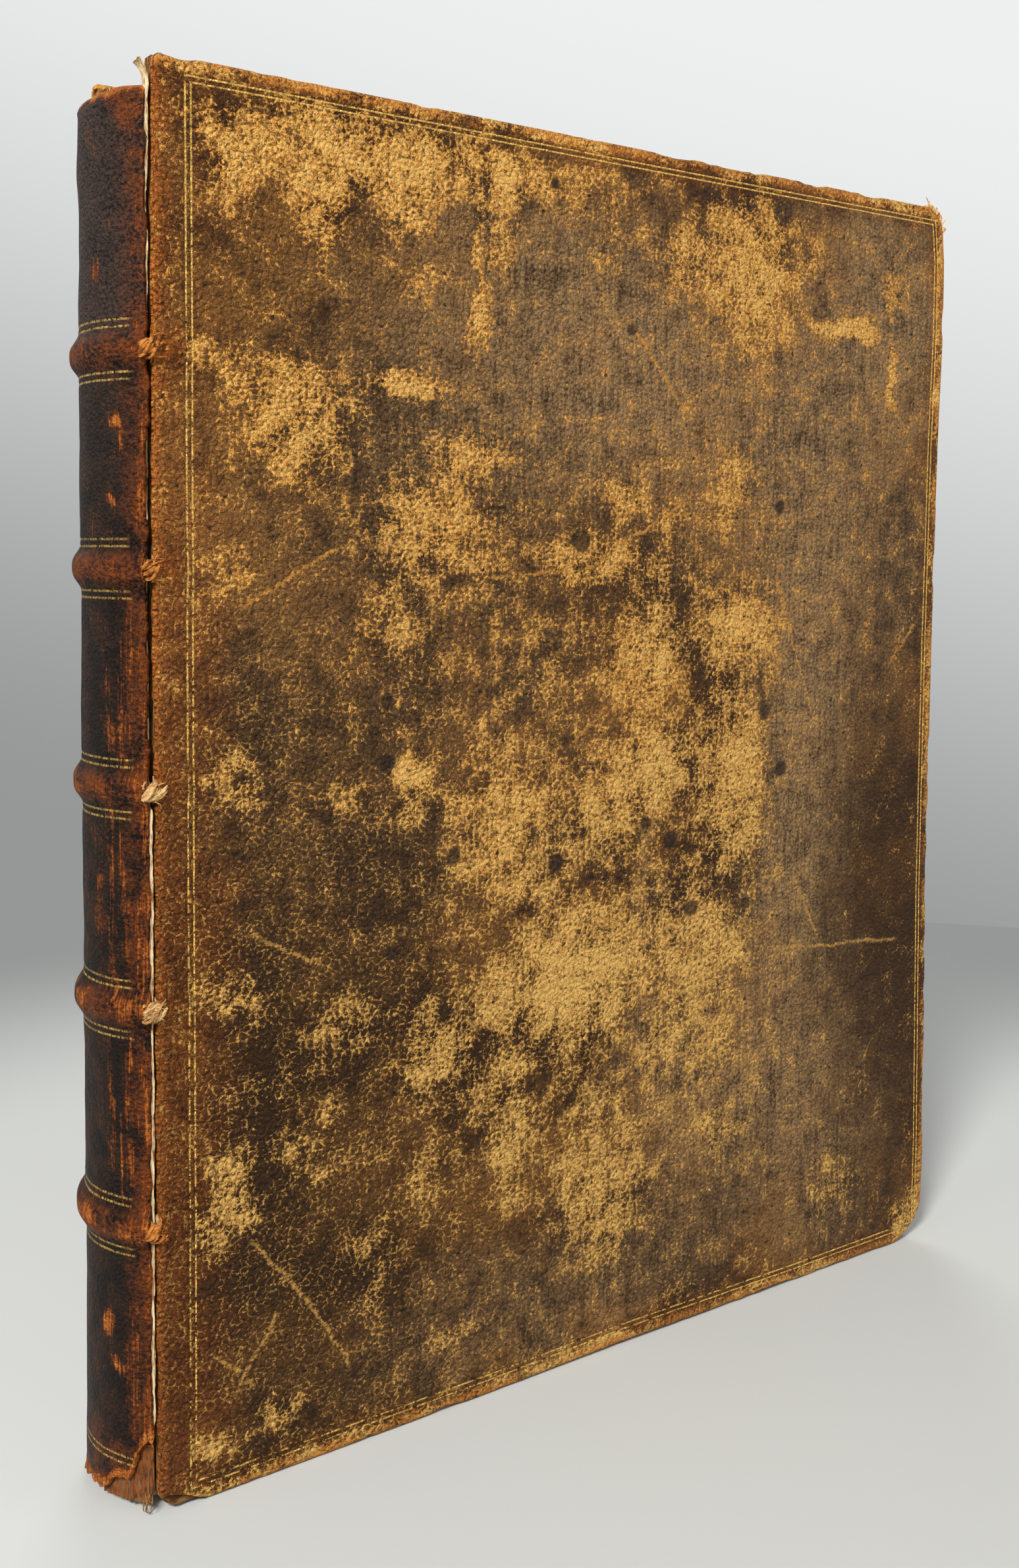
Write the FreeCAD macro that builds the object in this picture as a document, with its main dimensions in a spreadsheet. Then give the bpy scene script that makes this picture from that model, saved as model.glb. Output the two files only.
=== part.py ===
import FreeCAD, Part
import os
import Sketcher
from FreeCAD import Rotation, Vector

# An antique book in leather over pasteboards, standing on its tail, with five raised bands.
# X runs from the spine to the fore-edge, Y from the front cover to the rear cover, Z from tail to head.
# The origin is the middle of the whole book's footprint on the table.

# Driving dimensions in millimetres, each written once.
SIZES = (
    ("board_height", 290.0),
    ("board_width", 232.0),
    ("book_thickness", 31.0),
    ("board_thickness", 3.0),
    ("leather_thickness", 0.8),
    ("turn_in_thickness", 0.4),
    ("turn_in_width", 15.0),
    ("paper_thickness", 0.25),
    ("cover_clearance", 0.3),
    ("crack_half_width", 0.5),
    ("board_setback", 0.5),
    ("spine_bulge", 7.0),
    ("band_rise", 1.8),
    ("band_width", 6.2),
    ("band_1_height", 59.3),
    ("band_2_height", 103.3),
    ("band_3_height", 147.2),
    ("band_4_height", 190.6),
    ("band_5_height", 233.2),
    ("lining_thickness", 0.5),
    ("lining_clearance", 0.1),
    ("lowest_lining_height", 15.0),
    ("cap_setback", 6.0),
    ("cap_radius", 3.5),
    ("endband_radius", 1.0),
    ("endband_clearance", 0.1),
    ("block_tail_height", 2.0),
    ("fore_edge_square", 4.0),
    ("fore_edge_hollow", 6.0),
    ("shoulder_clearance", 0.4),
    ("slip_length", 10.0),
    ("slip_rise", 1.2),
    ("slip_end_rise", 0.1),
    ("mound_root", 0.3),
    ("edge_rounding", 1.0),
    ("joint_corner_radius", 3.0),
    ("head_corner_radius", 4.0),
    ("worn_corner_radius", 13.0),
    ("plain_corner_radius", 4.0),
    ("bare_corner_width", 12.0),
    ("bare_corner_height", 5.0),
    ("line_joint_inset", 7.6),
    ("line_edge_inset", 3.6),
    ("line_pitch", 1.2),
    ("line_width", 0.5),
    ("line_depth", 0.15),
    ("pastedown_margin", 4.5),
    ("strip_thickness", 0.3),
    ("strip_width", 2.0),
    ("strip_tail_height", 20.0),
    ("strip_curl_radius", 4.0),
    ("strip_curl_angle", 60.0),
)

# The torn tail edge of the spine leather: share of the half thickness, and height above the table.
TORN_EDGE = (
    (-1.0, 14.0),
    (-0.87, 14.4),
    (-0.76, 10.1),
    (-0.63, 6.8),
    (-0.43, 5.7),
    (-0.32, 3.6),
    (0.06, 2.6),
    (0.5, 3.4),
    (1.0, 4.6),
)

BANDS = 5

# Sizes that follow from the driving ones.
HALF = "(Sizes.book_thickness / 2)"
JOINT_X = "((Sizes.spine_bulge + Sizes.band_rise - Sizes.board_width) / 2)"
SPINE_RADIUS = f"(({HALF} ^ 2 + Sizes.spine_bulge ^ 2) / (2 * Sizes.spine_bulge))"
AXIS_OFFSET = f"({SPINE_RADIUS} - Sizes.spine_bulge)"
AXIS_X = f"({JOINT_X} + {AXIS_OFFSET})"
UNDER_LEATHER = f"({SPINE_RADIUS} - Sizes.leather_thickness)"
BACK_RADIUS = f"({UNDER_LEATHER} - Sizes.lining_thickness)"
SPINE_EDGE_X = f"({JOINT_X} - Sizes.crack_half_width)"
COVER_EDGE_X = f"({JOINT_X} + Sizes.crack_half_width)"
BOARD_EDGE_X = f"({COVER_EDGE_X} + Sizes.board_setback)"
FORE_EDGE_X = f"({JOINT_X} + Sizes.board_width)"
INNER_DEPTH = "(Sizes.leather_thickness + Sizes.board_thickness + Sizes.turn_in_thickness)"
COVER_DEPTH = f"({INNER_DEPTH} + Sizes.paper_thickness)"
BLOCK_HALF = f"({HALF} - {COVER_DEPTH} - Sizes.cover_clearance - Sizes.paper_thickness)"
TIP_Y = f"sqrt({BACK_RADIUS} ^ 2 - ({AXIS_OFFSET} + Sizes.crack_half_width) ^ 2)"
ROOT_X = f"({BOARD_EDGE_X} + Sizes.shoulder_clearance)"
PAGE_EDGE_X = f"({FORE_EDGE_X} - Sizes.fore_edge_square)"
SPINE_HEAD = "(Sizes.board_height - Sizes.cap_setback)"
CAP_BASE = f"({SPINE_HEAD} - Sizes.cap_radius)"
CAP_CENTRE_RADIUS = f"({SPINE_RADIUS} - Sizes.cap_radius)"
ENDBAND_Z = (f"({SPINE_HEAD} - Sizes.leather_thickness - Sizes.endband_clearance"
             " - Sizes.endband_radius)")
BLOCK_HEAD = f"({ENDBAND_Z} - Sizes.endband_radius)"
BAND_CURVE = "(((Sizes.band_width / 2) ^ 2 + Sizes.band_rise ^ 2) / (2 * Sizes.band_rise))"
BAND_CENTRE_RADIUS = f"({SPINE_RADIUS} + Sizes.band_rise - {BAND_CURVE})"
CORD_CURVE = f"({BAND_CURVE} - Sizes.leather_thickness)"
CORD_HALF_WIDTH = f"sqrt({CORD_CURVE} ^ 2 - ({BACK_RADIUS} - {BAND_CENTRE_RADIUS}) ^ 2)"
MOUND_CURVE = "(((Sizes.band_width / 2) ^ 2 + Sizes.slip_rise ^ 2) / (2 * Sizes.slip_rise))"
MOUND_AXIS_DEPTH = f"({MOUND_CURVE} - Sizes.slip_rise)"
MOUND_END_CURVE = f"({MOUND_AXIS_DEPTH} + Sizes.slip_end_rise)"

doc = FreeCAD.newDocument("AntiqueBook")
sheet = doc.addObject("Spreadsheet::Sheet", "Sizes")
for row, (alias, value) in enumerate(SIZES, start=1):
    sheet.set(f"A{row}", alias.replace("_", " "))
    sheet.set(f"B{row}", str(value))
    sheet.setAlias(f"B{row}", alias)
doc.recompute()


def number(expression):
    """The present value of an expression on the sheet."""
    return float(sheet.evalExpression(expression))


def bind(thing, **expressions):
    """Ties properties to the sheet; place_x stands for Placement.Base.x, and so on."""
    for name, expression in expressions.items():
        path = name.replace("place_", ".Placement.Base.") if name.startswith("place_") else name
        thing.setExpression(path, str(expression))
    return thing


def make(kind, label, **expressions):
    """A primitive with its sizes and its place tied to the sheet."""
    return bind(doc.addObject(kind, label), **expressions)


def block(label, low, high):
    """A box between two corners, each given as three expressions."""
    spans = [f"({top}) - ({bottom})" for bottom, top in zip(low, high)]
    return make("Part::Box", label, Length=spans[0], Width=spans[1], Height=spans[2],
                place_x=low[0], place_y=low[1], place_z=low[2])


def about_spine(kind, label, height, **expressions):
    """A round primitive on the spine's axis at a height."""
    return make(kind, label, place_x=AXIS_X, place_z=height, **expressions)


def ring(label, height, centre_radius, curve):
    """A full ring round the spine's axis."""
    return about_spine("Part::Torus", label, height, Radius1=centre_radius, Radius2=curve)


def joined(label, pieces):
    """All the pieces as one shape."""
    fuse = doc.addObject("Part::MultiFuse", label)
    fuse.Shapes = pieces
    return fuse


def combined(kind, label, base, tool):
    """A cut or a common of two shapes."""
    result = doc.addObject(kind, label)
    result.Base = base
    result.Tool = tool
    return result


def new_sketch(body, role, name):
    """A sketch on one of the body's own origin planes."""
    plane = next(item for item in body.Origin.OriginFeatures if item.Role == role)
    sketch = body.newObject("Sketcher::SketchObject", name)
    sketch.AttachmentSupport = [(plane, "")]
    sketch.MapMode = "FlatFace"
    return sketch


def pin(sketch, line, end, corner):
    """Ties one end of a line or an arc to a corner given as two expressions."""
    for kind, expression in zip(("DistanceX", "DistanceY"), corner):
        index = sketch.addConstraint(
            Sketcher.Constraint(kind, -1, 1, line, end, number(expression)))
        sketch.setExpression(f"Constraints[{index}]", expression)


def draw_loop(sketch, corners, curves=None):
    """A closed outline; curves maps a side's number to a point on its arc and its radius."""
    curves = curves or {}
    points = [Vector(number(x), number(y), 0) for x, y in corners]
    sides = []
    for index, start in enumerate(points):
        end = points[(index + 1) % len(points)]
        edge = Part.LineSegment(start, end)
        if index in curves:
            through_x, through_y = curves[index][0]
            edge = Part.Arc(start, Vector(number(through_x), number(through_y), 0), end)
        side = sketch.addGeometry(edge, False)
        starts_first = sketch.getPoint(side, 1).distanceToPoint(start) < 1e-6
        sides.append((side, 1, 2) if starts_first else (side, 2, 1))
    for this, following in zip(sides, sides[1:] + sides[:1]):
        sketch.addConstraint(
            Sketcher.Constraint("Coincident", this[0], this[2], following[0], following[1]))
    for (side, first_end, _), corner in zip(sides, corners):
        pin(sketch, side, first_end, corner)
    for index, (_, radius) in curves.items():
        constraint = sketch.addConstraint(
            Sketcher.Constraint("Radius", sides[index][0], number(radius)))
        sketch.setExpression(f"Constraints[{constraint}]", radius)


def padded(label, role, loops, length, **placement):
    """A body with one padded outline, or several."""
    body = doc.addObject("PartDesign::Body", label)
    sketch = new_sketch(body, role, label + "_outline")
    for corners, curves in loops:
        draw_loop(sketch, corners, curves)
    pad = body.newObject("PartDesign::Pad", label + "_pad")
    pad.Profile = sketch
    bind(pad, Length=length)
    bind(body, **placement)
    doc.recompute()
    return body


def rectangle(left, right, bottom, top):
    """The four corners of a rectangle, as expressions."""
    return [(left, bottom), (right, bottom), (right, top), (left, top)]


def round_edges(body, label, radius, chosen):
    """Fillets the edges of the body's tip that the test picks."""
    sharp = body.Tip
    edges = enumerate(sharp.Shape.Edges, start=1)
    names = [f"Edge{index}" for index, edge in edges if chosen(edge)]
    fillet = body.newObject("PartDesign::Fillet", label)
    fillet.Base = (sharp, names)
    bind(fillet, Radius=radius)
    doc.recompute()


def stands_at(x, z):
    """Picks the edge across the thickness at one corner of a cover's outline."""
    corner_x = number(x)
    corner_z = number(z)

    def test(edge):
        near = [abs(v.X - corner_x) < 0.01 and abs(v.Z - corner_z) < 0.01 for v in edge.Vertexes]
        return len(near) == 2 and all(near)

    return test


def rim_edge(edge):
    """Picks the edges round a cover's two faces, apart from those at the joint."""
    ends = edge.Vertexes
    along_face = abs(ends[0].Y - ends[-1].Y) < 0.01
    at_joint = all(abs(v.X - number(COVER_EDGE_X)) < 0.01 for v in ends)
    return along_face and not at_joint


def spine_space(label, reach):
    """The room on the spine's side of the joints, up to a reach past each cover's outer face."""
    half_width = f"({HALF} + {reach})"
    return block(label, (f"{JOINT_X} - 2 * {SPINE_RADIUS}", f"-{half_width}", "0"),
                 (SPINE_EDGE_X, half_width, "Sizes.board_height"))


# The bands flatten towards the joints, to the height at which the cords' ends go on over the boards.
band_space = spine_space("band_space", "Sizes.slip_rise")
cord_space = spine_space("cord_space", "(Sizes.slip_rise - Sizes.leather_thickness)")
back_core = about_spine("Part::Cylinder", "back_core", "0", Radius=BACK_RADIUS,
                        Height="Sizes.board_height")


def under_skin(label, shape):
    """The part of a round shape that lies under the spine leather, between the joints."""
    return combined("Part::Common", label, shape, cord_space)


def text_block():
    """The gatherings as one solid: rounded back with shoulders, hollow fore-edge."""
    hollow = "Sizes.fore_edge_hollow"
    fore_curve = f"(({BLOCK_HALF} ^ 2 + {hollow} ^ 2) / (2 * {hollow}))"
    corners = [
        (SPINE_EDGE_X, f"-{TIP_Y}"),
        (ROOT_X, f"-{BLOCK_HALF}"),
        (PAGE_EDGE_X, f"-{BLOCK_HALF}"),
        (PAGE_EDGE_X, BLOCK_HALF),
        (ROOT_X, BLOCK_HALF),
        (SPINE_EDGE_X, TIP_Y),
    ]
    curves = {
        2: ((f"{PAGE_EDGE_X} - {hollow}", "0"), fore_curve),
        5: ((f"{AXIS_X} - {BACK_RADIUS}", "0"), BACK_RADIUS),
    }
    return padded("text_block", "XY_Plane", [(corners, curves)],
                  f"{BLOCK_HEAD} - Sizes.block_tail_height", place_z="Sizes.block_tail_height")


def flyleaf(side, sign):
    """The free half of an endpaper, lying on the block."""
    inner = f"{BLOCK_HALF}"
    outer = f"({BLOCK_HALF} + Sizes.paper_thickness)"
    low_y, high_y = (f"-{outer}", f"-{inner}") if sign < 0 else (inner, outer)
    return block(f"{side}_flyleaf", (ROOT_X, low_y, "Sizes.block_tail_height"),
                 (PAGE_EDGE_X, high_y, BLOCK_HEAD))


def band_height(index):
    """Height of one band's middle above the table."""
    return f"Sizes.band_{index}_height"


def sewing_cord(index):
    """A raised cord on the block's back."""
    cord = ring(f"cord_ring_{index}", band_height(index), BAND_CENTRE_RADIUS, CORD_CURVE)
    above_back = combined("Part::Cut", f"cord_above_back_{index}", cord, back_core)
    return under_skin(f"sewing_cord_{index}", above_back)


def spine_lining(index):
    """A strip glued to the block's back between two cords."""
    reach = f"({CORD_HALF_WIDTH} + Sizes.lining_clearance)"
    low = "Sizes.lowest_lining_height"
    high = CAP_BASE
    if index > 1:
        low = f"({band_height(index - 1)} + {reach})"
    if index <= BANDS:
        high = f"({band_height(index)} - {reach})"
    drum = about_spine("Part::Cylinder", f"lining_drum_{index}", low, Radius=UNDER_LEATHER,
                       Height=f"{high} - {low}")
    tube = combined("Part::Cut", f"lining_tube_{index}", drum, back_core)
    return under_skin(f"spine_lining_{index}", tube)


def head_endband():
    """The core on the block's head, under the cap."""
    core = ring("endband_ring", ENDBAND_Z, CAP_CENTRE_RADIUS, "Sizes.endband_radius")
    return under_skin("head_endband", core)


def torn_tail():
    """What is lost of the spine leather at the tail."""
    corners = [(f"{share} * {HALF}", str(height)) for share, height in TORN_EDGE]
    below = "-Sizes.block_tail_height"
    corners = [(f"-2 * {HALF}", str(TORN_EDGE[0][1]))] + corners
    corners += [(f"2 * {HALF}", str(TORN_EDGE[-1][1])), (f"2 * {HALF}", below), (f"-2 * {HALF}", below)]
    return padded("torn_tail", "YZ_Plane", [(corners, None)], SPINE_RADIUS,
                  place_x=f"{JOINT_X} - {SPINE_RADIUS}")


def spine_leather():
    """One skin over bands and panels, with the cap turned in at the head and the tail torn."""
    outer = [
        about_spine("Part::Cylinder", "spine_skin", "0", Radius=SPINE_RADIUS, Height=CAP_BASE),
        ring("cap_outside", CAP_BASE, CAP_CENTRE_RADIUS, "Sizes.cap_radius"),
    ]
    inner = [
        about_spine("Part::Cylinder", "spine_hollow", "0", Radius=UNDER_LEATHER, Height=CAP_BASE),
        ring("cap_inside", CAP_BASE, CAP_CENTRE_RADIUS, "Sizes.cap_radius - Sizes.leather_thickness"),
        about_spine("Part::Cylinder", "cap_mouth", "0", Radius=CAP_CENTRE_RADIUS,
                    Height="Sizes.board_height"),
    ]
    for index in range(1, BANDS + 1):
        height = band_height(index)
        outer.append(ring(f"band_outside_{index}", height, BAND_CENTRE_RADIUS, BAND_CURVE))
        inner.append(ring(f"band_inside_{index}", height, BAND_CENTRE_RADIUS, CORD_CURVE))
    outside = combined("Part::Common", "spine_outside", joined("spine_forms", outer), band_space)
    inside = under_skin("spine_inside", joined("spine_hollows", inner))
    return combined("Part::Cut", "spine_leather", outside, joined("spine_cuts", [inside, torn_tail()]))


def joint_strip():
    """The pale torn lining in the front joint's crack, curling over at the head."""
    left = f"({SPINE_EDGE_X} + Sizes.strip_thickness / 2)"
    low_y = f"(-{TIP_Y} - Sizes.strip_width)"
    right = f"({left} + Sizes.strip_thickness)"
    strip = block("strip_upright", (left, low_y, "Sizes.strip_tail_height"),
                  (right, f"-{TIP_Y}", SPINE_HEAD))
    rolls = []
    for name, radius in (("outside", "Sizes.strip_curl_radius"),
                         ("inside", "Sizes.strip_curl_radius - Sizes.strip_thickness")):
        roll = make("Part::Cylinder", f"curl_{name}", Radius=radius, Height="Sizes.strip_width",
                    Angle="Sizes.strip_curl_angle", place_x=f"{right} - Sizes.strip_curl_radius",
                    place_y=f"-{TIP_Y}", place_z=SPINE_HEAD)
        roll.Placement.Rotation = Rotation(Vector(1, 0, 0), 90)
        rolls.append(roll)
    curl = combined("Part::Cut", "strip_curl", *rolls)
    return joined("joint_strip", [strip, curl])


def depth_y(sign, depth):
    """The height across the book of a layer at a depth under a cover's outer face."""
    return f"-({HALF} - {depth})" if sign < 0 else f"({HALF} - {depth})"


def between(sign, near_depth, far_depth):
    """The lower and the higher Y of what lies between two depths under a cover's outer face."""
    ends = [depth_y(sign, near_depth), depth_y(sign, far_depth)]
    return ends if sign < 0 else ends[::-1]


def higher_y(sign, depth, thickness):
    """The greater Y of a cover's layer, from which its outline is padded towards -Y."""
    return depth_y(sign, f"({depth} + {thickness})" if sign < 0 else depth)


def taper(side, sign, name, index, joint_curve, end_curve):
    """A tapering cone that lies along a board from the end of one cord."""
    cone = make("Part::Cone", f"{side}_{name}_cone_{index}", Radius1=joint_curve,
                Radius2=end_curve, Height="Sizes.slip_length", place_x=COVER_EDGE_X,
                place_y=depth_y(sign, MOUND_AXIS_DEPTH), place_z=band_height(index))
    cone.Placement.Rotation = Rotation(Vector(0, 1, 0), 90)
    return cone


def above_layer(side, sign, name, shape, depth):
    """The part of a shape that stands above a layer of the cover."""
    low_y, high_y = between(sign, "(-2 * Sizes.slip_rise)", depth)
    slab = block(f"{side}_{name}_slab", (JOINT_X, low_y, "0"),
                 (FORE_EDGE_X, high_y, "Sizes.board_height"))
    return combined("Part::Common", f"{side}_{name}", shape, slab)


def cord_slip(side, sign, index):
    """One cord's end, pasted down on the board under the leather."""
    cone = taper(side, sign, "slip", index, f"{MOUND_CURVE} - Sizes.leather_thickness",
                 f"{MOUND_END_CURVE} - Sizes.leather_thickness")
    return above_layer(side, sign, f"cord_slip_{index}", cone, "Sizes.leather_thickness")


def pasteboard(side, sign, corner_radii):
    """A board, smaller all round than its cover by the leather."""
    skin = "Sizes.leather_thickness"
    fore = f"({FORE_EDGE_X} - {skin})"
    head = f"(Sizes.board_height - {skin})"
    outline = rectangle(BOARD_EDGE_X, fore, skin, head)
    body = padded(f"{side}_board", "XZ_Plane", [(outline, None)], "Sizes.board_thickness",
                  place_y=higher_y(sign, skin, "Sizes.board_thickness"))
    head_radius, tail_radius = corner_radii
    round_edges(body, f"{side}_board_head", f"{head_radius} - {skin}", stands_at(fore, head))
    round_edges(body, f"{side}_board_tail", f"{tail_radius} - {skin}", stands_at(fore, skin))
    return body


def leather_blank(side, sign, corner_radii):
    """The cover's outer form, with its corners and rims rounded and its lines tooled."""
    outline = rectangle(COVER_EDGE_X, FORE_EDGE_X, "0", "Sizes.board_height")
    body = padded(f"{side}_leather_blank", "XZ_Plane", [(outline, None)], INNER_DEPTH,
                  place_y=higher_y(sign, "0", INNER_DEPTH))
    head_radius, tail_radius = corner_radii
    for name, radius, x, z in (("fore_head", head_radius, FORE_EDGE_X, "Sizes.board_height"),
                               ("fore_tail", tail_radius, FORE_EDGE_X, "0"),
                               ("joint_head", "Sizes.joint_corner_radius", COVER_EDGE_X,
                                "Sizes.board_height")):
        round_edges(body, f"{side}_{name}", radius, stands_at(x, z))
    round_edges(body, f"{side}_rim", "Sizes.edge_rounding", rim_edge)
    tool_lines(body, side, sign)
    return body


def tool_lines(body, side, sign):
    """Two fine lines pressed round the cover, as four nested rectangles."""
    sketch = new_sketch(body, "XZ_Plane", f"{side}_lines")
    for start in ("0", "Sizes.line_pitch"):
        for inset in (start, f"({start} + Sizes.line_width)"):
            edge = f"(Sizes.line_edge_inset + {inset})"
            draw_loop(sketch, rectangle(f"({JOINT_X} + Sizes.line_joint_inset + {inset})",
                                        f"({FORE_EDGE_X} - {edge})", edge,
                                        f"(Sizes.board_height - {edge})"))
    sketch.setExpression(".AttachmentOffset.Base.z", INNER_DEPTH if sign < 0 else "0")
    before = body.Shape.Volume
    pocket = body.newObject("PartDesign::Pocket", f"{side}_line_pocket")
    pocket.Profile = sketch
    pocket.Reversed = sign > 0
    bind(pocket, Length="Sizes.line_depth")
    doc.recompute()
    if not body.Shape.Volume < before:
        raise RuntimeError(f"the lines of the {side} cover cut nothing")


def cover_leather(side, sign, corner_radii, board, slips, worn):
    """The skin over a board: face, edges and turn-ins, raised over the cords' ends."""
    cones = [taper(side, sign, "mound", index, MOUND_CURVE, MOUND_END_CURVE)
             for index in range(1, BANDS + 1)]
    raised = above_layer(side, sign, "mounds", joined(f"{side}_mound_cones", cones),
                         "Sizes.mound_root")
    full = joined(f"{side}_leather_full", [leather_blank(side, sign, corner_radii), raised])
    skin = "Sizes.leather_thickness"
    board_face = f"({skin} + Sizes.board_thickness)"
    turn_in = "Sizes.turn_in_width"
    low_y, high_y = between(sign, skin, board_face)
    open_joint = block(f"{side}_open_joint", (JOINT_X, low_y, skin),
                       (f"{BOARD_EDGE_X} + Sizes.board_setback", high_y,
                        f"Sizes.board_height - {skin}"))
    low_y, high_y = between(sign, board_face, INNER_DEPTH)
    window = block(f"{side}_window", (JOINT_X, low_y, turn_in),
                   (f"{FORE_EDGE_X} - {turn_in}", high_y, f"Sizes.board_height - {turn_in}"))
    tools = [board, open_joint, window] + slips
    if worn:
        tools.append(bare_corner(side, sign))
    return combined("Part::Cut", f"{side}_cover_leather", full, joined(f"{side}_hollows", tools))


def bare_corner(side, sign):
    """The corner at the tail of the joint, where the leather has worn through to the board."""
    outline = [
        (JOINT_X, "-Sizes.leather_thickness"),
        (f"({COVER_EDGE_X} + Sizes.bare_corner_width)", "-Sizes.leather_thickness"),
        (f"({COVER_EDGE_X} + Sizes.bare_corner_width)", "0"),
        (COVER_EDGE_X, "Sizes.bare_corner_height"),
        (JOINT_X, "Sizes.bare_corner_height"),
    ]
    depth = "(Sizes.leather_thickness + Sizes.board_thickness / 2)"
    return padded(f"{side}_bare_corner", "XZ_Plane", [(outline, None)],
                  f"{depth} + Sizes.leather_thickness",
                  place_y=higher_y(sign, "-Sizes.leather_thickness",
                                   f"({depth} + Sizes.leather_thickness)"))


def pastedown(side, sign):
    """The pasted half of an endpaper, with the sheet that levels the space between the turn-ins."""
    board_face = "(Sizes.leather_thickness + Sizes.board_thickness)"
    turn_in = "Sizes.turn_in_width"
    margin = "Sizes.pastedown_margin"
    joint_side = f"({ROOT_X} + Sizes.cover_clearance)"
    low_y, high_y = between(sign, board_face, INNER_DEPTH)
    fill = block(f"{side}_board_fill", (joint_side, low_y, turn_in),
                 (f"{FORE_EDGE_X} - {turn_in}", high_y, f"Sizes.board_height - {turn_in}"))
    low_y, high_y = between(sign, INNER_DEPTH, COVER_DEPTH)
    leaf = block(f"{side}_pasted_leaf", (joint_side, low_y, margin),
                 (PAGE_EDGE_X, high_y, f"Sizes.board_height - {margin}"))
    return joined(f"{side}_pastedown", [fill, leaf])


def cover(side, sign, corner_radii, worn):
    """One cover: board, leather, cords' ends and pastedown."""
    board = pasteboard(side, sign, corner_radii)
    slips = [cord_slip(side, sign, index) for index in range(1, BANDS + 1)]
    leather = cover_leather(side, sign, corner_radii, board, slips, worn)
    return [board, leather, pastedown(side, sign)] + slips


nodes = [text_block(), flyleaf("front", -1), flyleaf("rear", 1), head_endband(), spine_leather(),
         joint_strip()]
nodes += [sewing_cord(index) for index in range(1, BANDS + 1)]
nodes += [spine_lining(index) for index in range(1, BANDS + 2)]
nodes += cover("front", -1, ("Sizes.head_corner_radius", "Sizes.worn_corner_radius"), worn=True)
nodes += cover("rear", 1, ("Sizes.plain_corner_radius", "Sizes.plain_corner_radius"), worn=False)
doc.recompute()

for thing in doc.Objects:
    if "Invalid" in thing.State or "Error" in thing.State:
        raise RuntimeError(f"{thing.Label} did not recompute: {thing.State}")
for node in nodes:
    if node.Shape.isNull() or not node.Shape.isValid():
        raise RuntimeError(f"{node.Label} has no valid shape")

os.makedirs("parts", exist_ok=True)
for node in nodes:
    node.Shape.exportStep(f"parts/{node.Label}.step")
    box = node.Shape.BoundBox
    print(f"{node.Label}: {len(node.Shape.Solids)} solid(s), {node.Shape.Volume:.1f} mm3, "
          f"x {box.XMin:.2f} to {box.XMax:.2f}, y {box.YMin:.2f} to {box.YMax:.2f}, "
          f"z {box.ZMin:.2f} to {box.ZMax:.2f}")
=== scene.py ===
"""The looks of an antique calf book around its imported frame, laid out as an add-on.

Lengths inside the functions are millimetres in the frame's own axes. A cover's own coordinates
are u, from the edge of its leather at the joint towards the fore-edge, and z, up from the tail.
The spine's own coordinates are an angle from its middle, negative towards the front cover, and z.
"""

import math
from contextlib import contextmanager

import bpy
import numpy as np
from mathutils import Matrix, Vector


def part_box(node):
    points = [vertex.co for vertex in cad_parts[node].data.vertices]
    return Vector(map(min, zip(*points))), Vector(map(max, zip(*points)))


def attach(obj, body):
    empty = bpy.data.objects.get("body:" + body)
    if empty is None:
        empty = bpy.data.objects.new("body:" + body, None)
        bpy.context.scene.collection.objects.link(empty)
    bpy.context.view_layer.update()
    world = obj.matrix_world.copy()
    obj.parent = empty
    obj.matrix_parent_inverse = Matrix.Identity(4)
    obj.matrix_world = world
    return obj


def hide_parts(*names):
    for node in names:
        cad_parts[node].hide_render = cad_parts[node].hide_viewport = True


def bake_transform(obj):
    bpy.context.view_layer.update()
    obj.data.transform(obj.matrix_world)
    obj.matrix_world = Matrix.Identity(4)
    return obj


bl_info = {
    "name": "Antique calf book",
    "version": (1, 0, 0),
    "blender": (4, 5, 0),
    "location": "3D View > Sidebar > Book",
    "description": "Leather, paper and cord finishes for an antique book",
    "category": "Object",
}

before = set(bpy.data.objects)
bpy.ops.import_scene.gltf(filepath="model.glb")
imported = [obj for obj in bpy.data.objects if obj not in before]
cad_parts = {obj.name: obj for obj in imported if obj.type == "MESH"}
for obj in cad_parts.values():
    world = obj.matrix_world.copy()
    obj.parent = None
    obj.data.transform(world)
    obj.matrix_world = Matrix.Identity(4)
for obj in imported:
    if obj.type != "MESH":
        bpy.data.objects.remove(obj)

MM = 0.001


def box_mm(node):
    low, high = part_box(node)
    return np.array(low) / MM, np.array(high) / MM


def srgb(red, green, blue):
    """A colour written as three numbers up to 255, as the linear values that a shader takes."""
    parts = [part / 255 for part in (red, green, blue)]
    linear = [part / 12.92 if part <= 0.04045 else ((part + 0.055) / 1.055) ** 2.4 for part in parts]
    return (*linear, 1.0)


def number(name, description, default, unit="NONE"):
    return bpy.props.FloatProperty(name=name, description=description, default=default, unit=unit)


def length(name, description, millimetres):
    return number(name, description, millimetres * MM, "LENGTH")


def colour(name, description, *parts):
    return bpy.props.FloatVectorProperty(
        name=name, description=description, size=4, subtype="COLOR", default=srgb(*parts), min=0, max=1
    )


# Heights of the five raised bands, from the cords that they cover.
BAND_HEIGHTS = [float(sum(box_mm(f"sewing_cord_{count}"))[2]) / 2 for count in range(1, 6)]
# Angle from the middle of the spine to each edge of its leather, in degrees.
SPINE_FRONT = math.degrees(0.815)
# Millimetres on the round of the spine for each degree.
ARC = 0.36
# Gap between a cover's leather and the middle of the joint beside it.
JOINT_GAP = 0.5
# Last row of a cover's mesh that counts as its face, and the last one on its rim.
FACE_RING, RIM_RING = 3, 9


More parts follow.
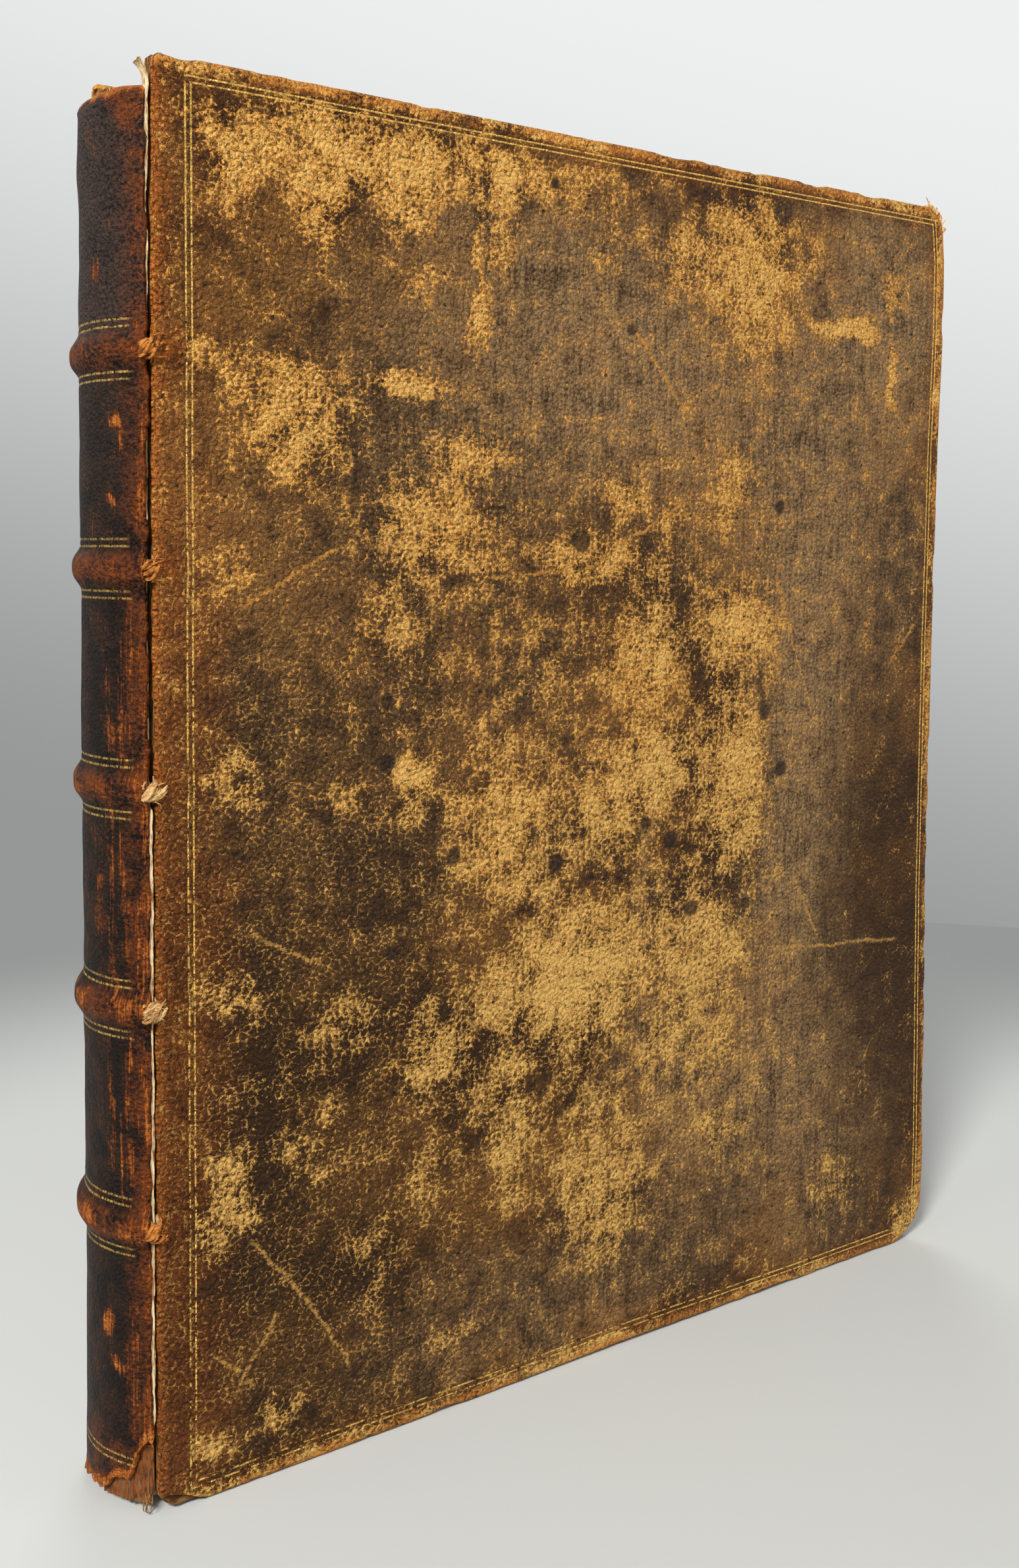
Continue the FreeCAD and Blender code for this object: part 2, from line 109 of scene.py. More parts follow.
class BookSizes(bpy.types.PropertyGroup):
    """Sizes of the modelled leather and paper."""

    front_cell: length("Front cell", "Spacing of the mesh on the front cover", 1.1)
    rear_cell: length("Rear cell", "Spacing of the mesh on the rear cover", 1.7)
    leather: length("Leather", "Thickness of the calf", 0.8)
    turn_in: length("Turn-in", "Leather turned over the board", 15.0)
    rim_round: length("Rim rounding", "Rounding of a cover's edge", 1.3)
    corner: length("Corner", "Rounding of a sound corner at the fore-edge", 4.0)
    rubbed_corner: length("Rubbed corner", "Rounding of the front cover's rubbed upper corner", 6.5)
    worn_corner: length("Worn corner", "Rounding of the front cover's worn lower corner", 13.0)
    line_inset: length("Line inset", "Outer tooled line from the head, tail and fore-edge", 3.6)
    joint_inset: length("Joint line inset", "Outer tooled line from the leather's edge at the joint", 7.1)
    line_pitch: length("Line pitch", "Distance between the two tooled lines", 1.2)
    spine_radius: length("Spine radius", "Outside radius of the spine leather", 20.66)
    band_rise: length("Band rise", "How far a band stands out of the spine", 1.8)
    cap_radius: length("Cap radius", "Rounding of the head cap", 3.5)
    leaf_group: length("Leaf group", "Thickness of a group of leaves that lie even", 0.34)


class BookColours(bpy.types.PropertyGroup):
    """Colours of the finishes."""

    calf: colour("Calf", "Brown ground of the covers", 98, 64, 28)
    calf_deep: colour("Deep calf", "Darkest ground of the covers", 46, 27, 9)
    calf_warm: colour("Rust calf", "Rust brown along the joint and edges", 116, 58, 14)
    # This grey brown is partly rubbed calf and partly painted sheen on the front cover's upper and right
    # parts.
    grey_calf_and_sheen: colour("Rubbed calf", "Grey brown where the surface is rubbed", 132, 104, 70)
    scuff: colour("Scuff", "First tan that shows through the surface", 146, 104, 50)
    scuff_mid: colour("Open scuff", "Ochre of the open leather", 182, 136, 68)
    scuff_gold: colour("Golden scuff", "Golden ochre of the open leather near the head", 196, 132, 54)
    scuff_rim: colour("Rim", "Orange tan of the rubbed edges", 186, 118, 50)
    scuff_bright: colour("Bright scuff", "Palest leather", 214, 168, 92)
    ink: colour("Ink", "Stains and spots", 38, 27, 20)
    gilt: colour("Gilt", "Gold in the tooled lines", 212, 172, 90)
    spine: colour("Spine calf", "Ground of the spine", 38, 22, 12)
    spine_deep: colour("Deep spine calf", "Darkest ground of the spine", 20, 11, 6)
    spine_dusty: colour("Dusty spine calf", "Greyed ground of the top panel", 52, 40, 34)
    spine_red: colour("Red spine calf", "Red brown of the bands and the joint", 100, 48, 15)
    spine_orange: colour("Orange spine calf", "Bare orange leather", 166, 92, 34)
    flesh: colour("Raw leather", "Torn and cut edges of the leather", 124, 72, 32)
    paper: colour("Paper", "Edges of the leaves", 196, 176, 138)
    paper_dark: colour("Browned paper", "Dirt on the edges of the leaves", 138, 112, 76)
    endpaper: colour("Endpaper", "Sides of the endpapers", 214, 200, 168)
    strip: colour("Cream strip", "Torn lining strip in the joint", 226, 202, 158)
    cord: colour("Cord", "Hemp of the sewing cords", 214, 176, 116)
    cord_dark: colour("Dark cord", "Glue and dirt on the cords and the linings", 66, 36, 16)
    board: colour("Board", "Layers of the pasteboard", 160, 116, 66)
    thread: colour("Thread", "Pale thread of the endband", 196, 172, 124)
    thread_dark: colour("Dark thread", "Second thread of the endband", 92, 58, 44)


class StageSettings(bpy.types.PropertyGroup):
    """The floor, the light and the camera."""

    eye: bpy.props.FloatVectorProperty(
        name="Eye", description="Place of the camera", default=(-0.23056, -0.30376, 0.19417), subtype="XYZ"
    )
    yaw: number("Yaw", "Turn from +Y towards +X", 0.6173, "ROTATION")
    pitch: number("Pitch", "Tilt downwards", 0.0526, "ROTATION")
    roll: number("Roll", "Turn about the view", 0.0063, "ROTATION")
    lens: number("Lens", "Focal length", 35.88, "CAMERA")
    shift: number("Shift", "Vertical shift of the frame", -0.09497)
    floor_radius: length("Floor radius", "Radius of the round floor", 1000.0)
    floor_beyond: length("Floor beyond", "Floor beyond the object, seen from the camera", 460.0)
    floor: colour("Floor", "Pale floor", 196, 197, 193)
    horizon: colour("Horizon", "Backdrop behind the foot of the object", 150, 152, 151)
    sky: colour("Upper backdrop", "Backdrop above the object", 238, 240, 240)
    pale: colour("Pale surroundings", "Floor and backdrop on all the other sides", 212, 214, 212)
    studio: colour("Studio", "Colour of the even light all round", 236, 238, 240)


def mm(metres):
    return metres / MM


def spine_axis(sizes):
    """Where the round of the spine has its middle."""
    return box_mm("spine_leather")[0][0] + mm(sizes.spine_radius + sizes.band_rise)


def ease(share):
    return share * share * (3 - 2 * share)


def ripple(across, along, size, seed):
    """Smooth seeded noise from -1 to 1, with one swell in each size millimetres."""
    cells = 128
    lattice = np.random.default_rng(seed).random((cells, cells)) * 2 - 1
    across = np.asarray(across) / size
    along = np.asarray(along) / size
    column = np.floor(across).astype(int)
    row = np.floor(along).astype(int)
    right = ease(across - column)
    up = ease(along - row)
    rows = []
    for level in (row % cells, (row + 1) % cells):
        before = lattice[column % cells, level]
        after = lattice[(column + 1) % cells, level]
        rows.append(before * (1 - right) + after * right)
    return rows[0] * (1 - up) + rows[1] * up


def spine_ripple(angle, z, size, seed):
    """Noise on the round of the spine, with its angle in degrees."""
    return ripple(angle * ARC, z, size, seed)


def two_ripples(across, along, seed):
    """A coarse and a fine noise that make an edge ragged."""
    return ripple(across, along, 9, seed) * 1.4 + ripple(across, along, 3, seed + 1) * 0.7


def soft_step(value, low, high):
    return ease(np.clip((value - low) / (high - low), 0, 1))


def fade(value, low, high):
    """One up to the low value, and nothing from the high value on."""
    return 1 - soft_step(value, low, high)


def hump(value, width):
    return np.exp(-((value / width) ** 2))


def blotches(across, along, marks, seed, wobble=2.2):
    """How strongly each point is covered by soft oval marks with uneven rims."""
    bare = np.ones_like(across)

    def sway(seed):
        return ripple(across, along, 7, seed) * wobble + ripple(across, along, 2.6, seed + 1) * wobble / 3

    across = across + sway(seed)
    along = along + sway(seed + 2)
    for centre, height, half_width, half_height, strength in marks:
        reach = np.hypot((across - centre) / half_width, (along - height) / half_height)
        bare = bare * (1 - strength * fade(reach, 0.3, 1.55))
    return 1 - bare


def scratches(across, along, lines):
    """Signed distance to the nearest of some lines, and how near that line is, from 0 to 1."""
    near = np.full_like(across, np.inf)
    side = np.zeros_like(across)
    for line in lines:
        for (start_u, start_z), (end_u, end_z) in zip(line, line[1:]):
            run = np.hypot(end_u - start_u, end_z - start_z)
            ahead_u = (end_u - start_u) / run
            ahead_z = (end_z - start_z) / run
            along_line = (across - start_u) * ahead_u + (along - start_z) * ahead_z
            off = (across - start_u) * ahead_z - (along - start_z) * ahead_u
            reach = np.hypot(off, along_line - np.clip(along_line, 0, run))
            side = np.where(reach < near, off, side)
            near = np.minimum(near, reach)
    return side, fade(near, 0.9, 3.2)


def columns(*parts):
    """Numbers for each vertex side by side."""
    return np.stack(np.broadcast_arrays(*parts), axis=1)


def deselect():
    bpy.ops.object.select_all(action="DESELECT")


def hold(piece):
    """Makes a piece the only selected object, and the active one."""
    deselect()
    piece.select_set(True)
    bpy.context.view_layer.objects.active = piece


def points_of(piece):
    flat = np.empty(len(piece.data.vertices) * 3)
    piece.data.vertices.foreach_get("co", flat)
    return flat.reshape(-1, 3) / MM


def put_points(piece, points):
    piece.data.vertices.foreach_set("co", (np.asarray(points) * MM).ravel())
    piece.data.update()


def grid(name, across, along):
    """A grid of quads, with the column and the row of each of its vertices."""
    deselect()
    bpy.ops.mesh.primitive_grid_add(x_subdivisions=across, y_subdivisions=along, size=1)
    piece = bpy.context.object
    piece.name = name
    piece.data.name = name
    points = points_of(piece) * MM + 0.5
    return piece, np.rint(points[:, 0] * across).astype(int), np.rint(points[:, 1] * along).astype(int)


LAYERS = {1: ("FLOAT", "value"), 3: ("FLOAT_VECTOR", "vector"), 4: ("FLOAT_COLOR", "color")}


def keep_values(piece, name, values):
    """Writes one, three or four numbers for each vertex as an attribute."""
    values = np.ascontiguousarray(values, dtype=np.float32)
    kind, key = LAYERS[values[0].size]
    layer = piece.data.attributes.get(name) or piece.data.attributes.new(name, kind, "POINT")
    layer.data.foreach_set(key, values.ravel())


def kept_values(piece, name, width=1):
    """Reads back what keep_values wrote."""
    layer = piece.data.attributes[name]
    values = np.empty(len(layer.data) * width, dtype=np.float32)
    layer.data.foreach_get(LAYERS[width][1], values)
    return values.reshape(-1, width).squeeze().astype(float)


@contextmanager
def editing(piece, mask=None, kind="VERT"):
    """Edit mode on one piece, with the masked vertices or faces selected, or all of them."""
    hold(piece)
    bpy.ops.object.mode_set(mode="EDIT")
    bpy.ops.mesh.select_mode(type=kind)
    bpy.ops.mesh.select_all(action="SELECT" if mask is None else "DESELECT")
    if mask is not None:
        bpy.ops.object.mode_set(mode="OBJECT")
        parts = piece.data.vertices if kind == "VERT" else piece.data.polygons
        parts.foreach_set("select", np.asarray(mask, dtype=bool))
        bpy.ops.object.mode_set(mode="EDIT")
    yield
    bpy.ops.object.mode_set(mode="OBJECT")


def weld(piece, distance=0.01):
    with editing(piece):
        bpy.ops.mesh.remove_doubles(threshold=distance * MM)


def face_out(piece, direction):
    """Turns an open sheet so that its middle face looks along the direction."""
    faces = piece.data.polygons
    if faces[len(faces) // 2].normal.dot(Vector(direction)) < 0:
        with editing(piece):
            bpy.ops.mesh.flip_normals()


def shut(piece):
    """Welds a closed piece and turns its faces outwards."""
    weld(piece)
    with editing(piece):
        bpy.ops.mesh.normals_make_consistent(inside=False)


def thicken(piece, thickness, group=""):
    """Gives a sheet its thickness on the inner side, and marks its outer skin."""
    outer = len(piece.data.vertices)
    keep_values(piece, "skin", np.ones(outer))
    hold(piece)
    wall = piece.modifiers.new("thickness", "SOLIDIFY")
    wall.thickness = thickness * MM
    wall.offset = -1
    wall.use_even_offset = True
    wall.vertex_group = group
    bpy.ops.object.modifier_apply(modifier=wall.name)
    skin = np.arange(len(piece.data.vertices)) < outer
    keep_values(piece, "skin", skin)
    return skin


def flatten_inside(piece, mask):
    """Dissolves the level faces whose vertices are all masked."""
    counts = np.empty(len(piece.data.polygons), dtype=int)
    piece.data.polygons.foreach_get("loop_total", counts)
    corners = np.empty(len(piece.data.loops), dtype=int)
    piece.data.loops.foreach_get("vertex_index", corners)
    starts = np.concatenate(([0], np.cumsum(counts)[:-1]))
    inside = np.minimum.reduceat(mask[corners].astype(int), starts).astype(bool)
    with editing(piece, inside, "FACE"):
        bpy.ops.mesh.dissolve_faces()


def smooth(piece, degrees=60):
    hold(piece)
    bpy.ops.object.shade_smooth_by_angle(angle=math.radians(degrees))


def dress(piece, material):
    piece.data.materials.clear()
    piece.data.materials.append(material)


class Wire:
    """A value socket that is added, multiplied and so on as a number is."""

    # Makes numpy leave sums with its own numbers to this class.
    __array_ufunc__ = None

    def __init__(self, nodes, socket):
        self.nodes = nodes
        self.socket = socket

    def maths(self, operation, first, second=0.0):
        return self.nodes.wire("ShaderNodeMath", {"operation": operation}, {0: first, 1: second})

    def __add__(self, other):
        return self.maths("ADD", self, other)

    __radd__ = __add__

    def __sub__(self, other):
        return self.maths("SUBTRACT", self, other)

    def __rsub__(self, other):
        return self.maths("SUBTRACT", other, self)

    def __mul__(self, other):
        return self.maths("MULTIPLY", self, other)

    def __abs__(self):
        return self.maths("ABSOLUTE", self)

    def least(self, other):
        return self.maths("MINIMUM", self, other)

    def most(self, other):
        return self.maths("MAXIMUM", self, other)

    def root(self):
        return self.maths("SQRT", self)

    def sine(self):
        return self.maths("SINE", self)


class Nodes:
    """The nodes of a material or a world, added by type, settings and sockets."""

    def __init__(self, tree):
        self.tree = tree
        self.tree.nodes.clear()

    def node(self, kind, settings=None, inputs=None):
        made = self.tree.nodes.new(kind)
        for key, value in (settings or {}).items():
            setattr(made, key, value)
        for key, value in (inputs or {}).items():
            if isinstance(value, Wire):
                self.tree.links.new(value.socket, made.inputs[key])
            else:
                made.inputs[key].default_value = value
        return made

    def wire(self, kind, settings=None, inputs=None, output=0):
        """Adds a node and gives its output as a value."""
        return Wire(self, self.node(kind, settings, inputs).outputs[output])

    def parts(self, where):
        made = self.node("ShaderNodeSeparateXYZ", {}, {0: where})
        return [Wire(self, socket) for socket in made.outputs]

    def step(self, value, low, high, start=0.0, end=1.0):
        sockets = {"Value": value, "From Min": low, "From Max": high, "To Min": start, "To Max": end}
        return self.wire("ShaderNodeMapRange", {"interpolation_type": "SMOOTHSTEP"}, sockets)

    def mix(self, factor, first, second):
        settings = {"data_type": "RGBA", "clamp_factor": True}
        return self.wire("ShaderNodeMix", settings, {0: factor, 6: first, 7: second}, 2)

    def shown(self):
        """One for what the camera, a reflection or a pane sees, and nothing for the light."""
        path = self.node("ShaderNodeLightPath")
        seen = Wire(self, path.outputs["Is Camera Ray"]).most(Wire(self, path.outputs["Is Glossy Ray"]))
        return seen.most(Wire(self, path.outputs["Is Transmission Ray"]))

    def end(self, kind, shader):
        out = self.node(kind)
        self.tree.links.new(shader.outputs[0], out.inputs["Surface"])


class Finish(Nodes):
    """One material, whose base colour is laid down coat by coat."""

    def __init__(self, name):
        self.material = bpy.data.materials.new(name)
        self.material.use_nodes = True
        self.base = None
        super().__init__(self.material.node_tree)

    def ground(self, factor, first, second):
        self.base = self.mix(factor, first, second)

    def coat(self, factor, tone):
        """Lays a colour over the base."""
        self.base = self.mix(factor, self.base, tone)

    def shade(self, amount):
        """Multiplies the base by a value that is about one."""
        settings = {"operation": "SCALE"}
        self.base = self.wire("ShaderNodeVectorMath", settings, {0: self.base, "Scale": amount})

    def place(self):
        """Object coordinates in millimetres."""
        where = self.wire("ShaderNodeTexCoord", output="Object")
        return self.stretch(where, 1 / MM, 1 / MM, 1 / MM)

    def stretch(self, where, x, y, z):
        return self.wire("ShaderNodeVectorMath", {"operation": "MULTIPLY"}, {0: where, 1: (x, y, z)})

    def attribute(self, name, output="Vector"):
        return self.wire("ShaderNodeAttribute", {"attribute_name": name}, output=output)

    def four(self, name):
        """The red, green, blue and alpha of a colour attribute."""
        made = self.node("ShaderNodeAttribute", {"attribute_name": name})
        split = self.node("ShaderNodeSeparateColor", {}, {0: Wire(self, made.outputs["Color"])})
        return [Wire(self, socket) for socket in (*split.outputs, made.outputs["Alpha"])]

    def noise(self, where, scale, detail=4.0, rough=0.55, space="3D"):
        sockets = {"Vector": where, "Scale": scale, "Detail": detail, "Roughness": rough}
        return self.wire("ShaderNodeTexNoise", {"noise_dimensions": space}, sockets)

    def strands(self, where, stretch, detail, rough):
        """Noise on stretched coordinates, given by its swells for each millimetre."""
        return self.noise(self.stretch(where, *stretch), 1.0, detail, rough)

    def flat_noise(self, where, across, along, detail, rough):
        """Noise on the leather's own flat coordinates, with its swells for each millimetre."""
        return self.noise(self.stretch(where, across, along, 0), 1.0, detail, rough, "2D")

    def bend(self, where, first, second):
        """Shifts flat coordinates by two noises, so that cells lose their straight sides."""
        across = first * 3.0 + second * 0.9
        along = second * 0.9 - first * 3.0
        shift = self.wire("ShaderNodeCombineXYZ", {}, {0: across, 1: along})
        return self.wire("ShaderNodeVectorMath", {"operation": "ADD"}, {0: where, 1: shift})

    def flat_cells(self, where, scale, feature="F1"):
        settings = {"feature": feature, "voronoi_dimensions": "2D"}
        return self.wire("ShaderNodeTexVoronoi", settings, {"Vector": where, "Scale": scale}, "Distance")

    def surface(self, rough, height, metallic=0.0, gloss=0.2):
        """Ends the material, with its bumps as a height in millimetres."""
        normal = self.wire("ShaderNodeBump", {}, {"Strength": 1.0, "Distance": MM, "Height": height})
        sockets = {"Base Color": self.base, "Roughness": rough, "Normal": normal, "Metallic": metallic}
        sockets["Specular IOR Level"] = gloss
        self.end("ShaderNodeOutputMaterial", self.node("ShaderNodeBsdfPrincipled", {}, sockets))
        return self.material


# The weights in the finishes were tuned against each other.
def cover_calf_finish(finish, colours, sizes):
    """Worn brown calf with open scuffs, stains and two gilt lines."""
    step, coat, flat_noise = finish.step, finish.coat, finish.flat_noise
    low, high = box_mm("front_cover_leather")
    width, height = high[0] - low[0], high[2] - low[2]
    where = finish.attribute("lay")
    scuffed, inked, rusty, greyed_and_sheen = finish.four("wear")
    u, z, _ = finish.parts(where)

    broad = flat_noise(where, 0.03, 0.03, 1, 0.5)
    ragged = flat_noise(where, 0.15, 0.15, 5, 0.72)
    fine = flat_noise(where, 1.3, 1.3, 2, 0.65)
    drag_up = flat_noise(where, 0.9, 0.06, 3, 0.68)
    drag_across = flat_noise(where, 0.06, 0.9, 3, 0.68)
    spin = {"rotation_type": "Z_AXIS"}
    turned = finish.wire("ShaderNodeVectorRotate", spin, {"Vector": where, "Angle": 0.7})
    smear = flat_noise(turned, 1.1, 0.11, 3, 0.68)

    finish.ground(step(broad * 0.5 + ragged * 0.5, 0.38, 0.62), colours.calf_deep, colours.calf)
    # Grey brown that is partly rubbed leather and partly painted sheen.
    coat(greyed_and_sheen * step(drag_up * 0.3 + fine * 0.3 + ragged * 0.4, 0.32, 0.60), colours.grey_calf_and_sheen)
    coat(rusty * step(ragged * 0.6 + fine * 0.4, 0.24, 0.58), colours.calf_warm)
    coat(inked * 0.9, colours.calf_deep)
    rim = step(u + ragged * 4 - 2, 2.4, 0.4) * step(fine, 0.3, 0.6)
    coat(rim * 0.7, colours.spine_orange)

    # The grain, and thin cracks between its cells.
    bent = finish.bend(where, ragged, fine)
    pebbles = finish.flat_cells(bent, 0.9)
    low_left = step(u, 120, 50) * step(z, 190, 120)
    # Painted shade towards the edges of the grain's cells, where their valleys lie; the ground is also darker
    # towards the lower left.
    finish.shade(0.90 + fine * 0.8 - pebbles * 0.48 - low_left * 0.16)
    crazing = finish.flat_cells(finish.stretch(bent, 0.5, 0.72, 0), 1.0, "DISTANCE_TO_EDGE")
    veins = step(crazing, 0.26, 0.02)
    cracked = step(smear * 0.8 + ragged * 1.2 + step(u, 150, 40) * 0.16, 0.98, 1.26)
    thin_veins = step(crazing, 0.12, 0.02) * cracked * step(fine, 0.40, 0.54)
    coat(thin_veins * 0.80, finish.mix(low_left * 0.6, colours.scuff, colours.scuff_mid))

    # Open leather, from the first tan to the palest threads.
    texture = ragged * 1.55 + fine * 0.38 + drag_up * 0.45 + drag_across * 0.30 + smear * 0.45 - 1.565
    bare = texture + veins * 0.16 + scuffed * 0.74 - inked * 0.22 - 0.41
    up_strands = abs(flat_noise(where, 0.42, 0.13, 4, 0.70) - 0.5)
    slant_strands = abs(flat_noise(turned, 0.34, 0.10, 4, 0.70) - 0.5)
    strands = step(up_strands.least(slant_strands), 0.030, 0.004)
    crisp = bare + fine * 0.44 + veins * 0.10 + strands * 0.20 - 0.285
    golden = finish.mix(step(z + broad * 160, 150, 320) * 0.8, colours.scuff_mid, colours.scuff_gold)
    coat(step(bare, -0.24, 0.06) * (0.42 - low_left * 0.20), colours.scuff)
    coat(step(crisp, -0.03, 0.05) * 0.86, golden)
    coat(step(crisp, 0.14, 0.34) * 0.75, colours.scuff_bright)
    open_leather = step(crisp, -0.06, 0.08)
    shaded_joint = step(u, 10, 5) * step(z, 200, 90)
    # Painted shade in the grain's valleys on the open leather, and painted shade along the joint, strongest
    # low down.
    finish.shade(1.17 - open_leather * pebbles * 0.25 - shaded_joint * 0.24)

    side, near, stain = finish.parts(finish.attribute("mark"))
    scratch = step(abs(side + ragged * 3 - 1.5) - fine * 0.9, 0.30, -0.40) * near
    coat(scratch * step(drag_across + fine * 0.6, 0.60, 0.80) * 0.8, golden)

    spots = finish.flat_cells(where, 0.12)
    spotted = step(spots + fine * 0.12, 0.125, 0.09) * step(broad, 0.40, 0.52)
    pits = step(flat_noise(where, 0.8, 0.8, 1, 0.5), 0.34, 0.29) * open_leather
    stained = step(stain + fine * 0.5, 0.55, 0.85)
    coat((spotted.most(stained) * 0.85).most(pits * 0.7), colours.ink)

    # The rubbed border and the two tooled lines, by the distance inward from the outer line.
    inset = mm(sizes.line_inset)
    edge = (z - inset).least(height - inset - z).least(width - inset - u)
    border = step(edge + ragged * 5 - 2.5, -0.4, -2.4) * step(ragged * 0.4 + fine * 0.6, 0.34, 0.52)
    border = border * step(flat_noise(where, 0.045, 0.045, 4, 0.62), 0.42, 0.54)
    coat(border * step(edge, -11, -6, 0.35, 1.0) * 0.85, colours.scuff_rim)
    edge = edge.least(u - mm(sizes.joint_inset))
    half_line = 0.27
    track = step(abs(edge).least(abs(edge - mm(sizes.line_pitch))), half_line, half_line * 0.45)
    gold = track * step(flat_noise(where, 0.5, 0.5, 3, 0.85) + z * 0.0004 + u * 0.0005, 0.44, 0.58)
    coat(track * 0.55, colours.calf_deep)
    coat(gold, colours.gilt)

    bumps = fine * 0.55 - pebbles * 0.80 - open_leather * 0.12 - track * 0.18 - veins * 0.06
    rough = 0.50 + fine * 0.14 + open_leather * 0.16 - gold * 0.2
    return finish.surface(rough, bumps, gold * 0.5, 0.12)


def spine_calf_finish(finish, colours, sizes):
    """Dark calf with red bands, bare streaks and gilt lines beside each band."""
    step, coat, flat_noise = finish.step, finish.coat, finish.flat_noise
    where = finish.attribute("lay")
    worn, dusty, red, gilded = finish.four("wear")
    blots = flat_noise(where, 0.16, 0.16, 4, 0.62)
    fine = flat_noise(where, 1.2, 1.2, 3, 0.65)
    drag_up = flat_noise(where, 2.2, 0.09, 3, 0.70)

    finish.ground(step(blots, 0.36, 0.62), colours.spine_deep, colours.spine)
    coat(dusty * step(fine * 0.6 + blots * 0.4, 0.3, 0.6), colours.spine_dusty)
    coat(red * step(blots * 0.6 + fine * 0.4, 0.36, 0.60), colours.spine_red)
    finish.shade(0.25 + fine * 1.5)
    bare = drag_up * 0.55 + fine * 0.35 + blots * 0.35 + worn * 0.34 - 0.12
    coat(step(bare, 0.60, 0.69) * 0.8, colours.spine_red)
    coat(step(bare, 0.68, 0.80) * 0.8, colours.spine_orange)
    coat(step(bare, 0.86, 1.00) * 0.5, colours.scuff_bright)
    _, z, _ = finish.parts(where)
    band = abs(z - BAND_HEIGHTS[0])
    for height in BAND_HEIGHTS[1:]:
        band = band.least(abs(z - height))
    line = abs(band - 4.4).least(abs(band - 5.8)).least(abs(z - 10.4)).least(abs(z - 11.8))
    track = step(line + fine * 0.12, 0.36, 0.22) * gilded
    gold = track * step(fine * 0.5 + drag_up * 0.5, 0.40, 0.56)
    coat(gold * 0.6, colours.gilt)

    grain = 0.9
    pores = flat_noise(where, 2.2 / grain, 2.2 / grain, 1, 0.6)
    pebbles = pores * 0.5 - finish.flat_cells(where, 1 / grain) * 0.7
    open_leather = step(bare, 0.62, 0.74)
    bumps = pebbles * 0.80 + fine * 0.45 - open_leather * 0.10 - track * 0.12
    return finish.surface(0.40 + fine * 0.16 + open_leather * 0.22, bumps, gold * 0.5, 0.10)


def leaf_edge_finish(finish, colours, sizes):
    """Edges of the leaves, browned by glue on the folds round the spine's axis."""
    axis_x = spine_axis(sizes)
    back = axis_x - box_mm("text_block")[0][0]
    where = finish.place()
    x, y, _ = finish.parts(where)
    reach = (x - axis_x) * (x - axis_x) + y * y
    glued = finish.step(reach, (back - 0.9) ** 2, (back - 0.3) ** 2)
    glued = glued * finish.step(x, axis_x - 2, axis_x - 8)
    leaves = finish.strands(where, (0.05, 9.0, 0.05), 3, 0.7)
    groups = finish.strands(where, (0.02, 1.6, 0.02), 2, 0.5)
    dirt = finish.noise(where, 0.06, 5, 0.65)
    soot = finish.strands(where, (0.3, 1.2, 0.3), 4, 0.6)
    finish.ground(finish.step(leaves, 0.36, 0.62), colours.paper_dark, colours.paper)
    finish.coat(finish.step(dirt * 0.6 + soot * 0.4, 0.52, 0.68) * 0.55, colours.paper_dark)
    finish.shade(0.72 + groups * 0.5)
    finish.coat(glued * 0.85, finish.mix(soot, colours.cord_dark, colours.flesh))
    return finish.surface(0.82 + dirt * 0.1, leaves * 0.13 + groups * 0.13)


def endpaper_finish(finish, colours, sizes):
    """Pale paper that is browned along the margins of the boards, with rust-brown specks."""
    low, high = box_mm("front_pastedown")
    where = finish.place()
    x, _, z = finish.parts(where)
    fibres = finish.strands(where, (0.8, 2.0, 3.0), 4, 0.6)
    foxing = finish.noise(where, 0.10, 6, 0.7)
    clouds = finish.noise(where, 0.018, 3, 0.5)
    margin = (high[0] - x).least((z - low[2]).least(high[2] - z)) + foxing * 22 - 11
    finish.ground(finish.step(margin, 16.0, 1.0) * 0.75, colours.endpaper, colours.paper_dark)
    finish.coat(finish.step(foxing, 0.62, 0.72) * 0.6, colours.calf_warm)
    finish.shade(0.84 + clouds * 0.2 + fibres * 0.12)
    return finish.surface(0.86, fibres * 0.06)


def board_finish(finish, colours, sizes):
    """Layers of pasteboard, seen at the worn corner."""
    where = finish.place()
    layers = finish.strands(where, (0.15, 2.6, 0.5), 4, 0.6)
    fibres = finish.noise(where, 1.6, 5, 0.7)
    finish.ground(finish.step(layers, 0.38, 0.62), colours.cord_dark, colours.board)
    finish.shade(0.35 + fibres * 1.2)
    return finish.surface(0.85, layers * 0.25 + fibres * 0.2, gloss=0.15)


def thread_finish(finish, colours, sizes):
    """Two colours of thread, each for three turns."""
    repeat = 6
    wound = finish.attribute("turn", "Fac")
    strand = finish.noise(finish.place(), 2.2, 4, 0.6)
    stripes = finish.step((wound * (math.tau / repeat)).sine(), -0.15, 0.15)
    finish.ground(stripes, colours.thread_dark, colours.thread)
    finish.coat(finish.step(strand, 0.45, 0.7) * 0.6, colours.paper_dark)
    return finish.surface(0.7 + strand * 0.15, strand * 0.08, gloss=0.3)


# Torn leather, paper and cord: the light and the dark colour, how its fibres are stretched and their size.
FIBRES = {
    "cream_strip": ("strip", "flesh", (2.0, 2.0, 0.25), 0.8),
    "hemp": ("cord", "flesh", (0.6, 2.0, 2.0), 0.5),
    "torn_cord": ("scuff_rim", "spine_red", (1.0, 1.6, 1.6), 1.6),
    "board_fibre": ("board", "cord_dark", (1.2, 1.2, 0.3), 0.6),
    "torn_lining": ("flesh", "cord_dark", (1.6, 1.6, 0.4), 0.7),
    "lining": ("paper_dark", "cord_dark", (1.0, 1.0, 1.0), 1.2),
    "corner_fray": ("cord", "spine_orange", (1.0, 1.0, 1.0), 1.4),
}
MAKERS = {
    "cover_calf": cover_calf_finish,
    "spine_calf": spine_calf_finish,
    "leaf_edges": leaf_edge_finish,
    "endpaper": endpaper_finish,
    "pasteboard": board_finish,
    "endband_thread": thread_finish,
}
FINISHES = {}


